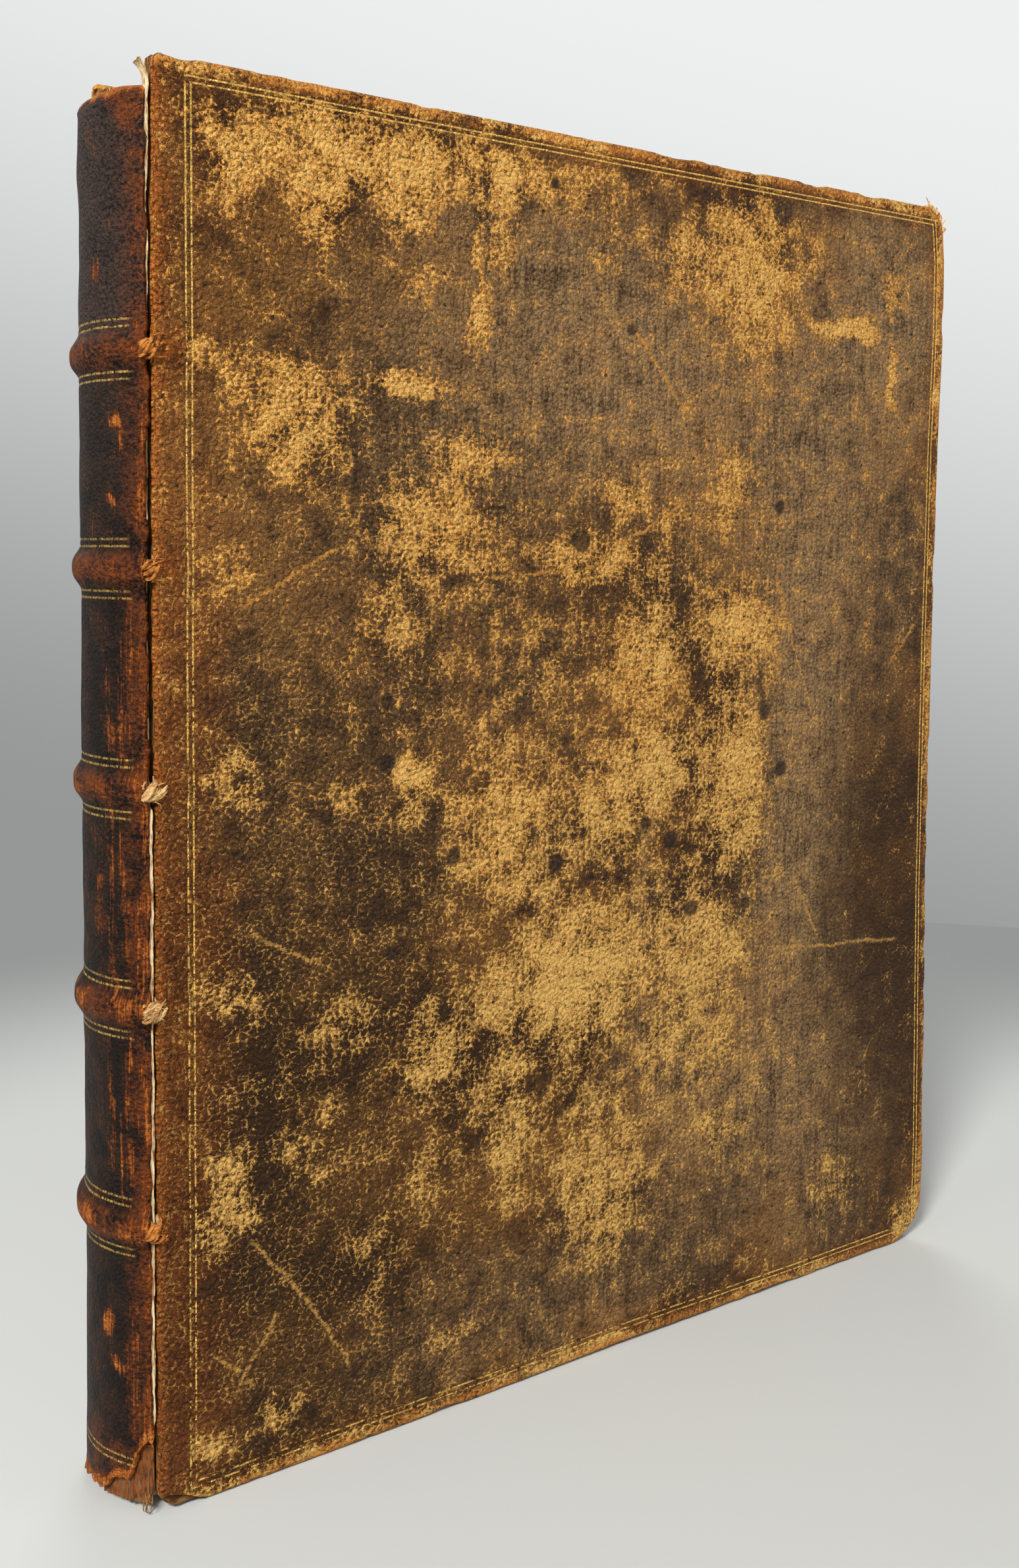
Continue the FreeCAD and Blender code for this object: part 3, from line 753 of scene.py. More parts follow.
def fibre_finish(finish, colours, light, dark, stretch, size):
    """Fibres along the least stretched axis."""
    where = finish.place()
    fibres = finish.noise(finish.stretch(where, *stretch), 1 / size, 3, 0.65)
    patches = finish.noise(where, 0.35, 4, 0.6)
    shades = finish.step(fibres * 0.6 + patches * 0.4, 0.36, 0.6)
    finish.ground(shades, getattr(colours, dark), getattr(colours, light))
    return finish.surface(0.78 + fibres * 0.12, fibres * 0.18)


def finish_of(name):
    """The material of that name, made when it is first asked for."""
    if name not in FINISHES:
        scene = bpy.context.scene
        if name in FIBRES:
            FINISHES[name] = fibre_finish(Finish(name), scene.book_colours, *FIBRES[name])
        else:
            FINISHES[name] = MAKERS[name](Finish(name), scene.book_colours, scene.book_sizes)
    return FINISHES[name]


def settle(piece, body, slot, finish, *nodes):
    """Gives a finished piece its material, its body and the nodes that it stands for."""
    dress(piece, finish_of(finish))
    if body:
        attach(piece, body)
    if nodes:
        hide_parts(*nodes)


# Marks on the front cover, listed as u, z, half width, half height and strength.
SCUFFS = [
    (60, 279, 56, 6, 0.45), (20, 270, 8, 10, 0.5), (82, 268, 5, 14, 0.5), (138, 266, 14, 10, 0.45),
    (44, 276, 32, 8, 0.35), (36, 268, 6, 14, 0.65), (56, 272, 9, 10, 0.6), (62, 254, 10, 4, 0.4),
    (76, 261, 1.5, 21, 0.5), (76, 244, 4, 10, 0.5), (95, 278, 13, 6, 0.35), (112, 265, 4, 16, 0.25),
    (160, 262, 16, 20, 0.7), (182, 271, 6, 7, 0.4), (190, 254, 14, 2.6, 0.95), (198, 253.5, 6, 3, 1.0),
    (212, 241, 2, 8.5, 0.85), (211, 266, 3, 8, 0.5), (143.5, 224, 2, 4, 0.4), (30, 221, 14, 13, 0.65),
    (57, 230, 10, 4, 0.7), (74, 216, 12, 6, 0.55), (64, 198, 16, 12, 0.55), (52, 179, 10, 9, 0.35),
    (119, 208, 7, 6, 0.5), (108, 193, 16, 5, 0.6), (134, 204, 6, 4, 0.4), (152, 210, 8, 10, 0.45),
    (125, 169, 11, 13, 0.6), (130, 166, 2, 10, 0.8), (155, 176, 11, 10, 0.7), (157, 136, 11, 22, 0.7),
    (128, 144, 12, 10, 0.6), (83, 132, 13, 18, 0.6), (118, 135, 22, 11, 0.45), (59.6, 145.6, 5, 5, 0.95),
    (40, 142, 8, 4, 0.4), (60, 139, 8, 5, 0.35), (18, 152, 4, 2, 0.5), (105, 96, 19, 14, 0.85),
    (79, 94, 7, 8, 0.6), (143, 95, 17, 13, 0.6), (64, 84, 8, 10, 0.65), (42, 94, 10, 8, 0.5),
    (17, 67, 6, 8, 0.62), (13, 56, 5, 6, 0.55), (38, 68, 14, 10, 0.4), (86, 62, 6, 20, 0.5),
    (61, 55, 7, 9, 0.45),
    (113, 42, 13, 20, 0.6), (130, 74, 6, 8, 0.5), (148, 72, 12, 10, 0.45), (152, 48, 8, 6, 0.4),
    (49, 40, 7, 14, 0.35), (70, 17, 10, 3, 0.4), (11, 10, 4, 3, 0.6), (26, 14, 8, 4, 0.4),
    (194, 24, 10, 8, 0.45), (205, 49, 7, 7, 0.3), (220, 11, 4, 5, 0.5), (167, 171, 5, 17, 0.35),
    (159, 93, 3, 9, 0.4), (100, 150, 60, 60, 0.22), (120, 70, 55, 50, 0.25), (150, 200, 30, 50, 0.12),
]
SCRATCHES = [
    [(120, 248), (136, 230)], [(21, 184), (39, 194)], [(82, 189), (108, 191), (136, 206)],
    [(104, 150), (128, 170)], [(136, 166), (142, 156)], [(22, 50), (36, 32), (43, 20)],
    [(14, 28), (20, 22)], [(26, 34), (18, 22)], [(22, 115), (35, 108)], [(170, 186), (182, 156)],
    [(215, 166), (222, 174)], [(172, 91), (216, 88)], [(178, 108), (186, 94)],
]
INK_SPOTS = [
    (105, 197, 3.2, 3.2, 0.9), (53, 162, 2.2, 2.2, 0.8), (53, 149, 2.2, 2.4, 0.8), (70, 127, 2.2, 2.6, 0.8),
    (99, 122, 2.4, 2.4, 0.8), (141, 106, 3.0, 2.4, 0.8), (172, 139, 2.4, 2.6, 0.8), (126, 129, 2.2, 2.2, 0.8),
    (134, 124, 2.8, 2.4, 0.8), (170, 206, 2.0, 2.0, 0.8), (205, 79, 3.4, 3.0, 0.5), (54, 107, 2.6, 2.0, 0.7),
    (160, 105, 2.0, 2.0, 0.7), (120, 247, 2.0, 2.0, 0.7), (166, 154, 3.0, 3.0, 0.6), (97, 278, 1.6, 1.6, 0.8),
]
DARK_FIELDS = [
    (212, 90, 26, 78, 0.85), (40, 130, 36, 60, 0.45), (30, 45, 30, 34, 0.55),
    (60, 240, 50, 20, 0.2), (110, 186, 14, 14, 0.4), (90, 30, 80, 14, 0.35), (226, 60, 10, 60, 0.5),
]
# Grey fields of the front cover, partly rubbed leather and partly painted sheen: u, z, half width, half
# height and strength.
GREY_AND_SHEEN_FIELDS = [
    (180, 150, 20, 110, 0.95), (165, 215, 34, 40, 0.6), (110, 240, 60, 34, 0.95), (150, 60, 30, 40, 0.85),
    (192, 50, 24, 44, 0.75), (208, 258, 26, 34, 0.9),
    (100, 20, 50, 16, 0.55), (60, 170, 60, 60, 0.25), (126, 110, 3, 40, 0.5), (205, 190, 24, 60, 0.5),
]


def most(*parts):
    return np.maximum.reduce(np.broadcast_arrays(*parts))


def scuff_map(u, z, width, height):
    """Wear of the front cover at each point: open leather, dark, rust, and a grey that is partly rubbed
    leather and partly painted sheen.
    """
    far = np.minimum.reduce([width - u, z, height - z])
    ragged = two_ripples(u, z, 41)
    ends = [(16, height - 1, 9, 6, 0.5) for height in BAND_HEIGHTS]
    rim = fade(far + ragged, 1.6, 4.2)
    corner = fade(np.hypot(width - u, z) + ragged, 11, 19)
    tip = fade(np.hypot(width - u, height - z) + ragged, 5, 9)
    scuffed = blotches(u, z, SCUFFS + ends, 11)
    scuffed = most(scuffed, rim * (0.66 + 0.34 * ripple(u, z, 12, 43)), corner * 0.85, tip * 0.8)
    dark = blotches(u, z, DARK_FIELDS, 12, 6)
    dark = most(dark, 0.5 * fade(far + ragged, 3.0, 7.5) * (ripple(u, z, 22, 44) > 0))
    edge = fade(np.minimum(far, u + 1.5) + ragged, 2.5, 7.5) * (0.6 + 0.4 * ripple(u, z, 26, 45))
    joint = fade(u + ragged * 2, 4, 22) * np.interp(z, [0, 120, 200, 240], [0.85, 0.8, 0.5, 0.2])
    rust = most(edge, joint, *(hump(z - height, 5) * fade(u + ragged, 4, 13) for height in BAND_HEIGHTS))
    return columns(scuffed, dark, rust, blotches(u, z, GREY_AND_SHEEN_FIELDS, 14, 6))


def rear_wear(u, z, width, height):
    """Plain even wear of the rear cover, with no mark of its own."""
    far = np.minimum.reduce([width - u, z, height - z])
    ragged = two_ripples(u, z, 51)
    patches = ripple(u, z, 46, 53) * 0.6 + ripple(u, z, 17, 54) * 0.4
    rim = fade(far + ragged, 0.4, 3.0) * (0.6 + 0.3 * ripple(u, z, 16, 55))
    scuffed = most(soft_step(patches, 0.0, 0.75) * 0.62, rim)
    dark = soft_step(ripple(u, z, 60, 56), 0.0, 0.8) * 0.5
    rust = fade(np.minimum(far, u) + ragged, 2.5, 7.5) * 0.85
    grey = soft_step(ripple(u, z, 70, 57), -0.1, 0.7) * 0.6
    return columns(scuffed, dark, rust, grey)


def spaced(start, end, step, fine):
    """Places about a step apart, with closer ones on each side of the fine places."""
    near = [place + shift for place in fine for shift in (-0.5, -0.2, 0.0, 0.2, 0.5)]
    even = np.linspace(start, end, round((end - start) / step) + 1)
    kept = [place for place in even if min(abs(place - mark) for mark in near) > 0.35]
    return np.array(sorted(kept + near))


class Cover:
    """Sizes of one cover's leather, read from the frame."""

    def __init__(self, name, sizes):
        self.name = name
        self.sizes = sizes
        self.front = name == "front"
        self.side = -1 if self.front else 1
        low, high = box_mm(f"{name}_cover_leather")
        self.left = low[0]
        self.width, _, self.height = high - low
        self.outer = np.abs(box_mm(f"{name}_board"))[:, 1].max() + mm(sizes.leather)
        self.depth = self.outer - min(abs(low[1]), abs(high[1]))
        self.bend = mm(sizes.rim_round)
        self.head_corner = mm(sizes.rubbed_corner if self.front else sizes.corner)
        self.tail_corner = mm(sizes.worn_corner if self.front else sizes.corner)
        # Inset and depth of the rows that carry the leather round the rim.
        turns = [math.radians(angle) for angle in (0, 25, 50, 75)]
        around = [(self.bend * (1 - math.sin(turn)), self.bend * (1 - math.cos(turn))) for turn in turns]
        down = [(0.0, self.bend), (0.0, self.depth / 2), (0.0, self.depth - self.bend)]
        under = [(drop, self.depth - inset) for inset, drop in around[1:]]
        flat = [(inset, self.depth) for inset in (self.bend, 3.0, 6.0, 9.0, 12.0, mm(sizes.turn_in))]
        self.flat_rings = len(flat)
        self.rings = np.array(around + down + under + flat)

    def corner(self, u, z):
        """Middle of the nearest rounded corner's arc, and the radius there."""
        radius = np.where(z > self.height / 2, self.head_corner, self.tail_corner)
        middle_z = np.clip(z, self.tail_corner, self.height - self.head_corner)
        return np.minimum(u, self.width - radius), middle_z, radius

    def wrap(self, u, z, ring):
        """Flat place of each point of the face, the rim and the turn-ins, and its way outward."""
        inset = self.rings[ring, 0]
        middle_u, middle_z, radius = self.corner(u, z)
        away_u = u - middle_u
        away_z = z - middle_z
        straight = np.maximum(np.hypot(away_u, away_z), 1e-6)
        out_u = away_u / straight
        out_z = away_z / straight
        square = np.maximum(abs(away_u), abs(away_z))
        share = soft_step(square / (radius - self.bend), 0.5, 1.0)
        scale = 1 - share + share * square / straight
        wide = np.maximum(inset, radius)
        reach = np.maximum(radius - inset, 0)
        ring_u = np.minimum(middle_u, self.width - wide) + out_u * reach
        ring_z = np.clip(middle_z, wide, self.height - wide) + out_z * reach
        flat_u = np.where(ring > 0, ring_u, middle_u + away_u * scale)
        flat_z = np.where(ring > 0, ring_z, middle_z + away_z * scale)
        return flat_u, flat_z, out_u, out_z


def cover_leather(cover, cell):
    """The calf of one cover as a flat wrapped sheet with its thickness."""
    sizes = cover.sizes
    lines, joint_lines = (
        [mm(inset), mm(inset) + mm(sizes.line_pitch)] for inset in (sizes.line_inset, sizes.joint_inset)
    )
    far_u, far_z = ([size - line for line in lines] for size in (cover.width, cover.height))
    places_u = spaced(0, cover.width - cover.bend, cell, joint_lines + far_u)
    places_z = spaced(cover.bend, cover.height - cover.bend, cell, lines + far_z)
    rings = len(cover.rings) - 1
    across = len(places_u) - 1
    along = len(places_z) - 1
    piece, column, row = grid(f"{cover.name}_cover_calf", across + rings, along + 2 * rings)
    u = places_u[np.minimum(column, across)]
    z = places_z[np.clip(row - rings, 0, along)]
    over_u = np.maximum(column - across, 0)
    over_z = most(rings - row, row - rings - along, 0)
    ring = np.maximum(over_u, over_z)
    flat_u, flat_z, out_u, out_z = cover.wrap(u, z, ring)
    depth = cover.rings[ring, 1]
    run = np.concatenate(([0], np.cumsum(np.hypot(*np.diff(cover.rings, axis=0).T))))[ring]
    lay_u = np.where(ring > 0, u + out_u * run, flat_u)
    lay_z = np.where(ring > 0, z + out_z * run, flat_z)
    keep_values(piece, "flat", columns(flat_u, flat_z, ring))
    keep_values(piece, "lay", columns(lay_u, lay_z, 0))
    keep_values(piece, "out", columns(out_u, out_z, depth))
    put_points(piece, columns(cover.left + flat_u, cover.side * (cover.outer - depth), flat_z))
    thin = piece.vertex_groups.new(name="turned in")
    first_flat = rings + 1 - cover.flat_rings
    for weight, mask in ((1.0, ring < first_flat), (0.5, ring >= first_flat)):
        thin.add(np.nonzero(mask)[0].tolist(), weight, "REPLACE")
    with editing(piece, (over_u > 0) & (over_z > 0)):
        bpy.ops.mesh.delete(type="VERT")
    weld(piece)
    face_out(piece, (0, cover.side, 0))
    skin = thicken(piece, mm(sizes.leather), thin.name)
    flatten_inside(piece, ~skin & (kept_values(piece, "flat", 3)[:, 2] < 0.5))
    return piece


def fore_edge_wave(z):
    """How far the front cover's fore-edge stands out of its straight line."""
    return np.interp(z, [0, 30, 100, 170, 225, 255, 275, 290], [0.0, 0.2, -0.8, -0.3, 0.6, 1.8, 1.8, 0.3])


def tail_bite(z):
    """Leather lost at the front cover's lower joint corner, and its uneven joint edge."""
    across, along, head, rounding = 11.5, 4.4, 290, 3
    bite = across * np.clip(1 - z / along, 0, 1) ** 0.7
    ragged = 0.25 + 0.3 * ripple(z, 0, 5, 61) + 0.15 * ripple(z, 0, 1.4, 62)
    up = np.clip(rounding - (head - z), 0, rounding)
    rounded = rounding - np.sqrt(rounding**2 - up**2)
    return most(bite + ripple(z, 3, 1.1, 63) * 0.5 * (bite > 0), ragged, rounded)


def shape_cover(piece, cover, wear):
    """Gives the flat leather its swellings, its tooled lines and its rubbed edges."""
    points = points_of(piece)
    u, z, ring = kept_values(piece, "flat", 3).T
    out = kept_values(piece, "out", 3)
    skin = kept_values(piece, "skin") > 0.5
    seed = 70 if cover.front else 90
    marks = wear(u, z, cover.width, cover.height)
    keep_values(piece, "wear", np.clip(marks, 0, 1))
    side, near = scratches(u, z, SCRATCHES if cover.front else [])
    stains = blotches(u, z, INK_SPOTS if cover.front else [], 13, 0.7)
    keep_values(piece, "mark", columns(side, near, stains))

    inset, joint_inset, pitch = (
        mm(size) for size in (cover.sizes.line_inset, cover.sizes.joint_inset, cover.sizes.line_pitch)
    )
    swells = ((75, 0.30), (24, 0.10), (6, 0.035))
    rise = sum(ripple(u, z, size, seed + step) * reach for step, (size, reach) in enumerate(swells))
    rise = rise * soft_step(np.minimum.reduce([cover.width - u, z, cover.height - z, u]), 0, 14)
    rise = rise + ripple(u, z, 2.4, seed + 3) * 0.03 * (1 + marks[:, 0]) - marks[:, 0] * 0.06
    for height in BAND_HEIGHTS:
        end = hump(z - height + ripple(u, z, 5, seed + 4) * 0.6, 3.4) * fade(u, 0, 11)
        rise = rise + end * (1.45 + 0.5 * ripple(u, z, 2.0, seed + 7))
    inward = np.minimum(cover.width - inset - u, cover.height - inset - z)
    inward = np.minimum.reduce([u - joint_inset, z - inset, inward])
    rise = rise - 0.16 * (hump(inward, 0.28) + hump(inward - pitch, 0.28))
    points[:, 1] += np.where(skin & (ring < FACE_RING + 0.5), cover.side * rise, 0)

    chipped = np.clip(ripple(u, z, 7, seed + 5) + 0.5 * ripple(u, z, 2.2, seed + 6), 0, 1)
    chipped = chipped * (0.55 if cover.front else 0.25) * (skin & (ring > 0.5) & (ring < RIM_RING + 0.5))
    points[:, 0] -= chipped * out[:, 0]
    points[:, 2] -= chipped * out[:, 1]
    if cover.front:
        points[:, 0] += fore_edge_wave(z) * soft_step(u, cover.width - 45, cover.width)
        bow = np.interp(u, [0, 60, 120, 206, 232], [0, -0.3, 0.6, -0.3, 0.0])
        points[:, 2] += np.maximum(bow * soft_step(z, 40, 0), 0)
        points[:, 0] = np.maximum(points[:, 0], cover.left + tail_bite(points[:, 2]))
    put_points(piece, points)
    weld(piece)
    smooth(piece, 50)


class BOOK_OT_cover_calf(bpy.types.Operator):
    """Wraps both boards in worn calf with turned-in edges"""

    bl_idname = "book.cover_calf"
    bl_label = "Cover calf"

    def execute(self, context):
        sizes = context.scene.book_sizes
        covers = (("front", sizes.front_cell, scuff_map), ("rear", sizes.rear_cell, rear_wear))
        for name, cell, wear in covers:
            cover = Cover(name, sizes)
            piece = cover_leather(cover, mm(cell))
            shape_cover(piece, cover, wear)
            settle(piece, f"{name}_cover", "cover_calf", "cover_calf", f"{name}_cover_leather")
        return {"FINISHED"}


# Lower edge of the torn spine leather, listed as angle in degrees and height.
TORN_TAIL = [
    (-47, 15.5), (-44, 16.0), (-40.7, 14.4), (-37, 11.6), (-34.7, 10.1), (-31, 7.4), (-28.3, 6.8),
    (-22, 6.4), (-18.8, 5.7), (-14, 3.6), (-6, 2.6), (2.8, 2.5), (20, 2.2), (47, 2.0),
]
SPINE_MARKS = [
    (-27, 218.5, 4.5, 1.6, 0.95), (-31, 215, 1.6, 3.2, 0.8), (-23, 204, 3.6, 1.5, 0.9),
    (-18, 39, 5, 2.4, 0.98),
    (-25, 31, 5.5, 2.0, 0.7), (-13, 249, 5, 4, 0.35), (-41, 262, 4, 22, 0.3), (-36, 172, 3.5, 22, 0.42),
    (-30, 160, 2.5, 18, 0.4), (-20, 160, 3, 20, 0.3), (-33, 122, 5, 18, 0.40), (-22, 122, 4, 18, 0.40),
    (-34, 80, 4, 16, 0.38), (-21, 84, 3.2, 16, 0.42), (-12, 126, 5, 14, 0.3), (-36, 30, 6, 20, 0.38),
    (-8, 200, 3, 3, 0.2), (5, 128, 4, 18, 0.25),
]


def band_profile(z):
    """Height of the bands above the spine, from 0 to 1."""
    return sum(np.exp(-np.abs((z - height) / 3.1) ** 3.2) for height in BAND_HEIGHTS)


def spine_wear(angle, z, torn):
    """Wear of the spine at each point: bare leather, dust, red and gold."""
    band = band_profile(z)
    from_front = angle + SPINE_FRONT
    corner_slant = -angle - (286 - z) * 2.0
    joint = fade(from_front + spine_ripple(angle, z, 4, 81) * 2.2, 2.0, 9.0)
    streaks = soft_step(ripple(angle * ARC, z * 0.06, 0.8, 83), 0.35, 0.9) * soft_step(-angle, 4, 34)
    crest = band * (0.62 + 0.38 * spine_ripple(angle, z, 3, 84))
    tear = fade(z - torn + spine_ripple(angle, z, 2.4, 86) * 1.2, 0.8, 3.4)
    worn = most(
        blotches(angle, z, SPINE_MARKS, 82, 1.6),
        0.75 * streaks * soft_step(190 - z, 0, 14) * soft_step(z, 56, 66),
        crest * np.interp(z, [40, 120, 180, 240], [0.85, 0.8, 0.35, 0.5]),
        joint * (0.34 + 0.4 * spine_ripple(angle, z, 6, 85)),
        tear * 0.85,
        0.30 * soft_step(corner_slant, 12, 26) * soft_step(z, 268, 278),
        1.3 * soft_step(z + spine_ripple(angle, z, 3, 87) * 1.2, 281.4, 283.4),
    )
    dust = soft_step(z, 232, 242) * 0.9 + 0.35 * soft_step(z, 180, 232)
    corner = soft_step(corner_slant + spine_ripple(angle, z, 3, 100) * 5, 6, 24) * soft_step(z, 262, 276)
    foot = 0.6 * soft_step(20 - z, 0, 8)
    red = most(joint, band * 0.9, 0.5 * soft_step(-angle, 25, 42), foot, tear, corner)
    gold = soft_step(from_front + ripple(z, 0, 1.5, 98) * 2, 8, 13) * np.where(abs(z - 193) < 12, 0.7, 1)
    return np.clip(columns(worn, dust, red, gold), 0, 1)


def spine_surface(angle, z, sizes):
    """Radius of the spine leather at each point."""
    bands = band_profile(z + spine_ripple(angle, z, 2.2, 88) * 0.25)
    out = mm(sizes.spine_radius) + bands * mm(sizes.band_rise)
    wrinkles = ripple(angle * 0.1, z, 1.7, 89) * 0.16 * soft_step(-angle, 22, 44) * soft_step(z, 150, 205)
    out = out + wrinkles + spine_ripple(angle, z, 9, 90) * 0.22 + spine_ripple(angle, z, 2.8, 91) * 0.05
    for height in BAND_HEIGHTS:
        for line in (4.3, -4.3, 5.7, -5.7):
            out = out - 0.12 * hump(z - height - line, 0.4)
    return out


def round_spine(sizes, angle, out, z):
    """Points round the spine, from an angle in degrees, a radius and a height."""
    theta = np.radians(angle)
    return columns(spine_axis(sizes) - out * np.cos(theta), out * np.sin(theta), z)


class BOOK_OT_spine_calf(bpy.types.Operator):
    """Models the spine leather with its bands, its head cap and its torn tail"""

    bl_idname = "book.spine_calf"
    bl_label = "Spine calf"

    def execute(self, context):
        sizes = context.scene.book_sizes
        radius = mm(sizes.spine_radius)
        cap = mm(sizes.cap_radius)
        cap_base = box_mm("spine_leather")[1][2] - cap
        across, body_rows, cap_rows = 78, 430, 12
        piece, column, row = grid("spine_calf", across, body_rows + cap_rows)
        turn = column / across
        angle = (turn * 2 - 1) * SPINE_FRONT
        low_edge = np.interp(angle, *zip(*TORN_TAIL))
        low_edge = low_edge + spine_ripple(angle, 0, 2.0, 92) * 0.9 + spine_ripple(angle, 0, 0.7, 93) * 0.4
        low_edge = np.maximum(low_edge, 1.6)
        # Below this height the rows draw together towards the torn edge.
        level = 50.0
        share = np.clip(row / body_rows, 0, 1)
        cap_turn = math.radians(165)
        gathered = low_edge + (level - low_edge) * share / (level / cap_base)
        z = np.where(share < level / cap_base, gathered, share * cap_base)
        out = spine_surface(angle, z, sizes)
        roll = np.maximum(row - body_rows, 0) / cap_rows * cap_turn
        top = 1 + 0.10 * spine_ripple(angle, 0, 5, 94)
        out = np.where(roll > 0, radius - cap + cap * np.cos(roll) * top, out)
        z = z + np.sin(roll) * cap * top
        front = (1 - turn) ** 10
        angle = angle + front * (ripple(z, 0, 3.1, 95) * 1.4 + ripple(z, 0, 1.0, 96) * 0.7)
        out = out + front * (0.25 + 0.35 * ripple(z, 0, 8, 97))
        out = out + hump(z - low_edge, 1.5) * (0.25 + 0.35 * spine_ripple(angle, z, 1.8, 99))
        put_points(piece, round_spine(sizes, angle, out, z))
        keep_values(piece, "wear", spine_wear(angle, z, low_edge))
        keep_values(piece, "lay", columns(np.radians(angle) * radius, z + cap * roll, 0))
        face_out(piece, (-1, 0, 0))
        thicken(piece, mm(sizes.leather))
        smooth(piece)
        settle(piece, "text", "spine_calf", "spine_calf", "spine_leather")
        return {"FINISHED"}


def curve_through(controls, count):
    """Points along the cubic Bezier curve of four control points."""
    share = np.linspace(0, 1, count)[:, None]
    first, second, third, last = np.array(controls, dtype=float)
    rest = 1 - share
    return rest**3 * first + 3 * rest**2 * share * second + 3 * rest * share**2 * third + share**3 * last


def fibre(path, thickness):
    """One tapered fibre along a path, closed at both ends."""
    sides = 5
    piece, column, row = grid("fibre", sides, len(path) - 1)
    ahead = np.gradient(path, axis=0)
    ahead = ahead / np.linalg.norm(ahead, axis=1)[:, None]
    # Any direction that no fibre runs along.
    side = np.cross(ahead, (0.31, 0.17, 0.93))
    side = side / np.linalg.norm(side, axis=1)[:, None]
    up = np.cross(side, ahead)
    turn = column / sides * math.tau
    share = row / (len(path) - 1)
    reach = thickness / 2 * np.sqrt(np.clip(1 - (2 * share - 1) ** 6, 0, 1))
    around = np.cos(turn)[:, None] * side[row] + np.sin(turn)[:, None] * up[row]
    put_points(piece, np.asarray(path)[row] + reach[:, None] * around)
    return piece


def bundle(name, paths, thickness):
    """Fibres joined in one piece."""
    fibres = [fibre(path, width) for path, width in zip(paths, thickness)]
    hold(fibres[0])
    for piece in fibres:
        piece.select_set(True)
    bpy.ops.object.join()
    whole = bpy.context.object
    whole.name = name
    whole.data.name = name
    shut(whole)
    smooth(whole)
    return whole


def ribbon(name, profile, heights):
    """A sheet with one cross-section, from x and y pairs, over a run of heights."""
    profile = np.array(profile)
    piece, column, row = grid(name, len(profile) - 1, len(heights) - 1)
    points = columns(profile[column, 0], profile[column, 1], heights[row])
    put_points(piece, points)
    return piece, points


class BOOK_OT_page_block(bpy.types.Operator):
    """Models the sewn leaves as one block, with uneven groups of leaves on its three edges"""

    bl_idname = "book.page_block"
    bl_label = "Page block"

    def execute(self, context):
        sizes = context.scene.book_sizes
        (back_low, _, foot), (fore, tip, head) = box_mm("text_block")
        leaf_low, leaf_high = box_mm("front_flyleaf")
        half = -leaf_high[1]
        root = leaf_low[0]
        axis_x = spine_axis(sizes)
        back = axis_x - back_low
        # How far the fore-edge is hollowed, the gap between two groups, and the folds of the back.
        hollow, slip, folds, fold_depth = 6.0, 0.03, 7, 0.35
        groups = round(2 * half / mm(sizes.leaf_group))
        # Rows on the fore-edge and the back, rows on the head and the foot, and how many of the
        # latter lie on the even part, from the fore-edge to where the leaves flare at the back.
        edge_rows, end_rows, even_rows = 44, 40, 34
        piece, column, row = grid("page_block", 2 * groups - 1, 2 * (edge_rows + end_rows))
        group = column // 2
        y = -half + (group + (column % 2)) * (2 * half / groups)
        y = y + np.where(column % 2 == 0, slip, -slip) * (abs(y) < half - slip)
        pick = np.random.default_rng(21)
        fore_shift = (pick.normal(0, 0.16, groups) + 0.25 * np.sin(np.arange(groups) / 2.1))[group]
        head_shift = pick.normal(0, 0.10, groups)[group]
        foot_shift = pick.normal(0, 0.10, groups)[group]
        fore_shift = np.clip(fore_shift, -0.5, 0.3) * (abs(y) < half - 0.4)
        fore_x = fore - hollow * (1 - (y / half) ** 2) + fore_shift
        back_x = axis_x - np.sqrt(back**2 - (y * tip / half) ** 2)
        head_z = head + np.clip(head_shift, -0.3, 0.0)
        foot_z = foot + np.clip(foot_shift, 0.0, 0.3)
        # The four sides in turn: fore-edge, head, back and foot, with the share of each passed.
        ends = np.cumsum([edge_rows, end_rows, edge_rows, end_rows])
        side = np.searchsorted(ends, row)
        rows = np.array([edge_rows, end_rows, edge_rows, end_rows])[side]
        step = (row - (ends[side] - rows)) / rows
        even = even_rows / end_rows
        from_fore = np.where(side == 1, step, 1 - step)
        flat_x = fore_x + (root - fore_x) * from_fore / even
        flared_x = root + (back_x - root) * (from_fore - even) / (1 - even)
        end_x = np.where(from_fore < even, flat_x, flared_x)
        x = np.choose(side, [fore_x, end_x, back_x, end_x])
        climb = (head_z - foot_z) * step
        z = np.choose(side, [foot_z + climb, head_z, head_z - climb, foot_z])
        x = x + np.where(side == 0, ripple(z, y, 40, 22) * 0.25, 0)
        fan = np.clip((root - x) / np.maximum(root - back_x, 0.1), 0, 1)
        y = y * (1 + (tip / half - 1) * fan)
        x = x + np.where(side == 2, fold_depth * abs(np.sin(y / tip * math.pi * folds)), 0)
        put_points(piece, columns(x, y, z))
        keep_values(piece, "turn", column)
        weld(piece, 0.001)
        for outermost in (0, 2 * groups - 1):
            with editing(piece, abs(kept_values(piece, "turn") - outermost) < 0.5):
                bpy.ops.mesh.edge_face_add()
            at_root = abs(points_of(piece)[:, 0] - root) < 0.01
            with editing(piece, (abs(kept_values(piece, "turn") - outermost) < 0.5) & at_root):
                bpy.ops.mesh.vert_connect()
        shut(piece)
        smooth(piece, 30)
        settle(piece, "text", "aged_pages", "leaf_edges", "text_block")
        return {"FINISHED"}


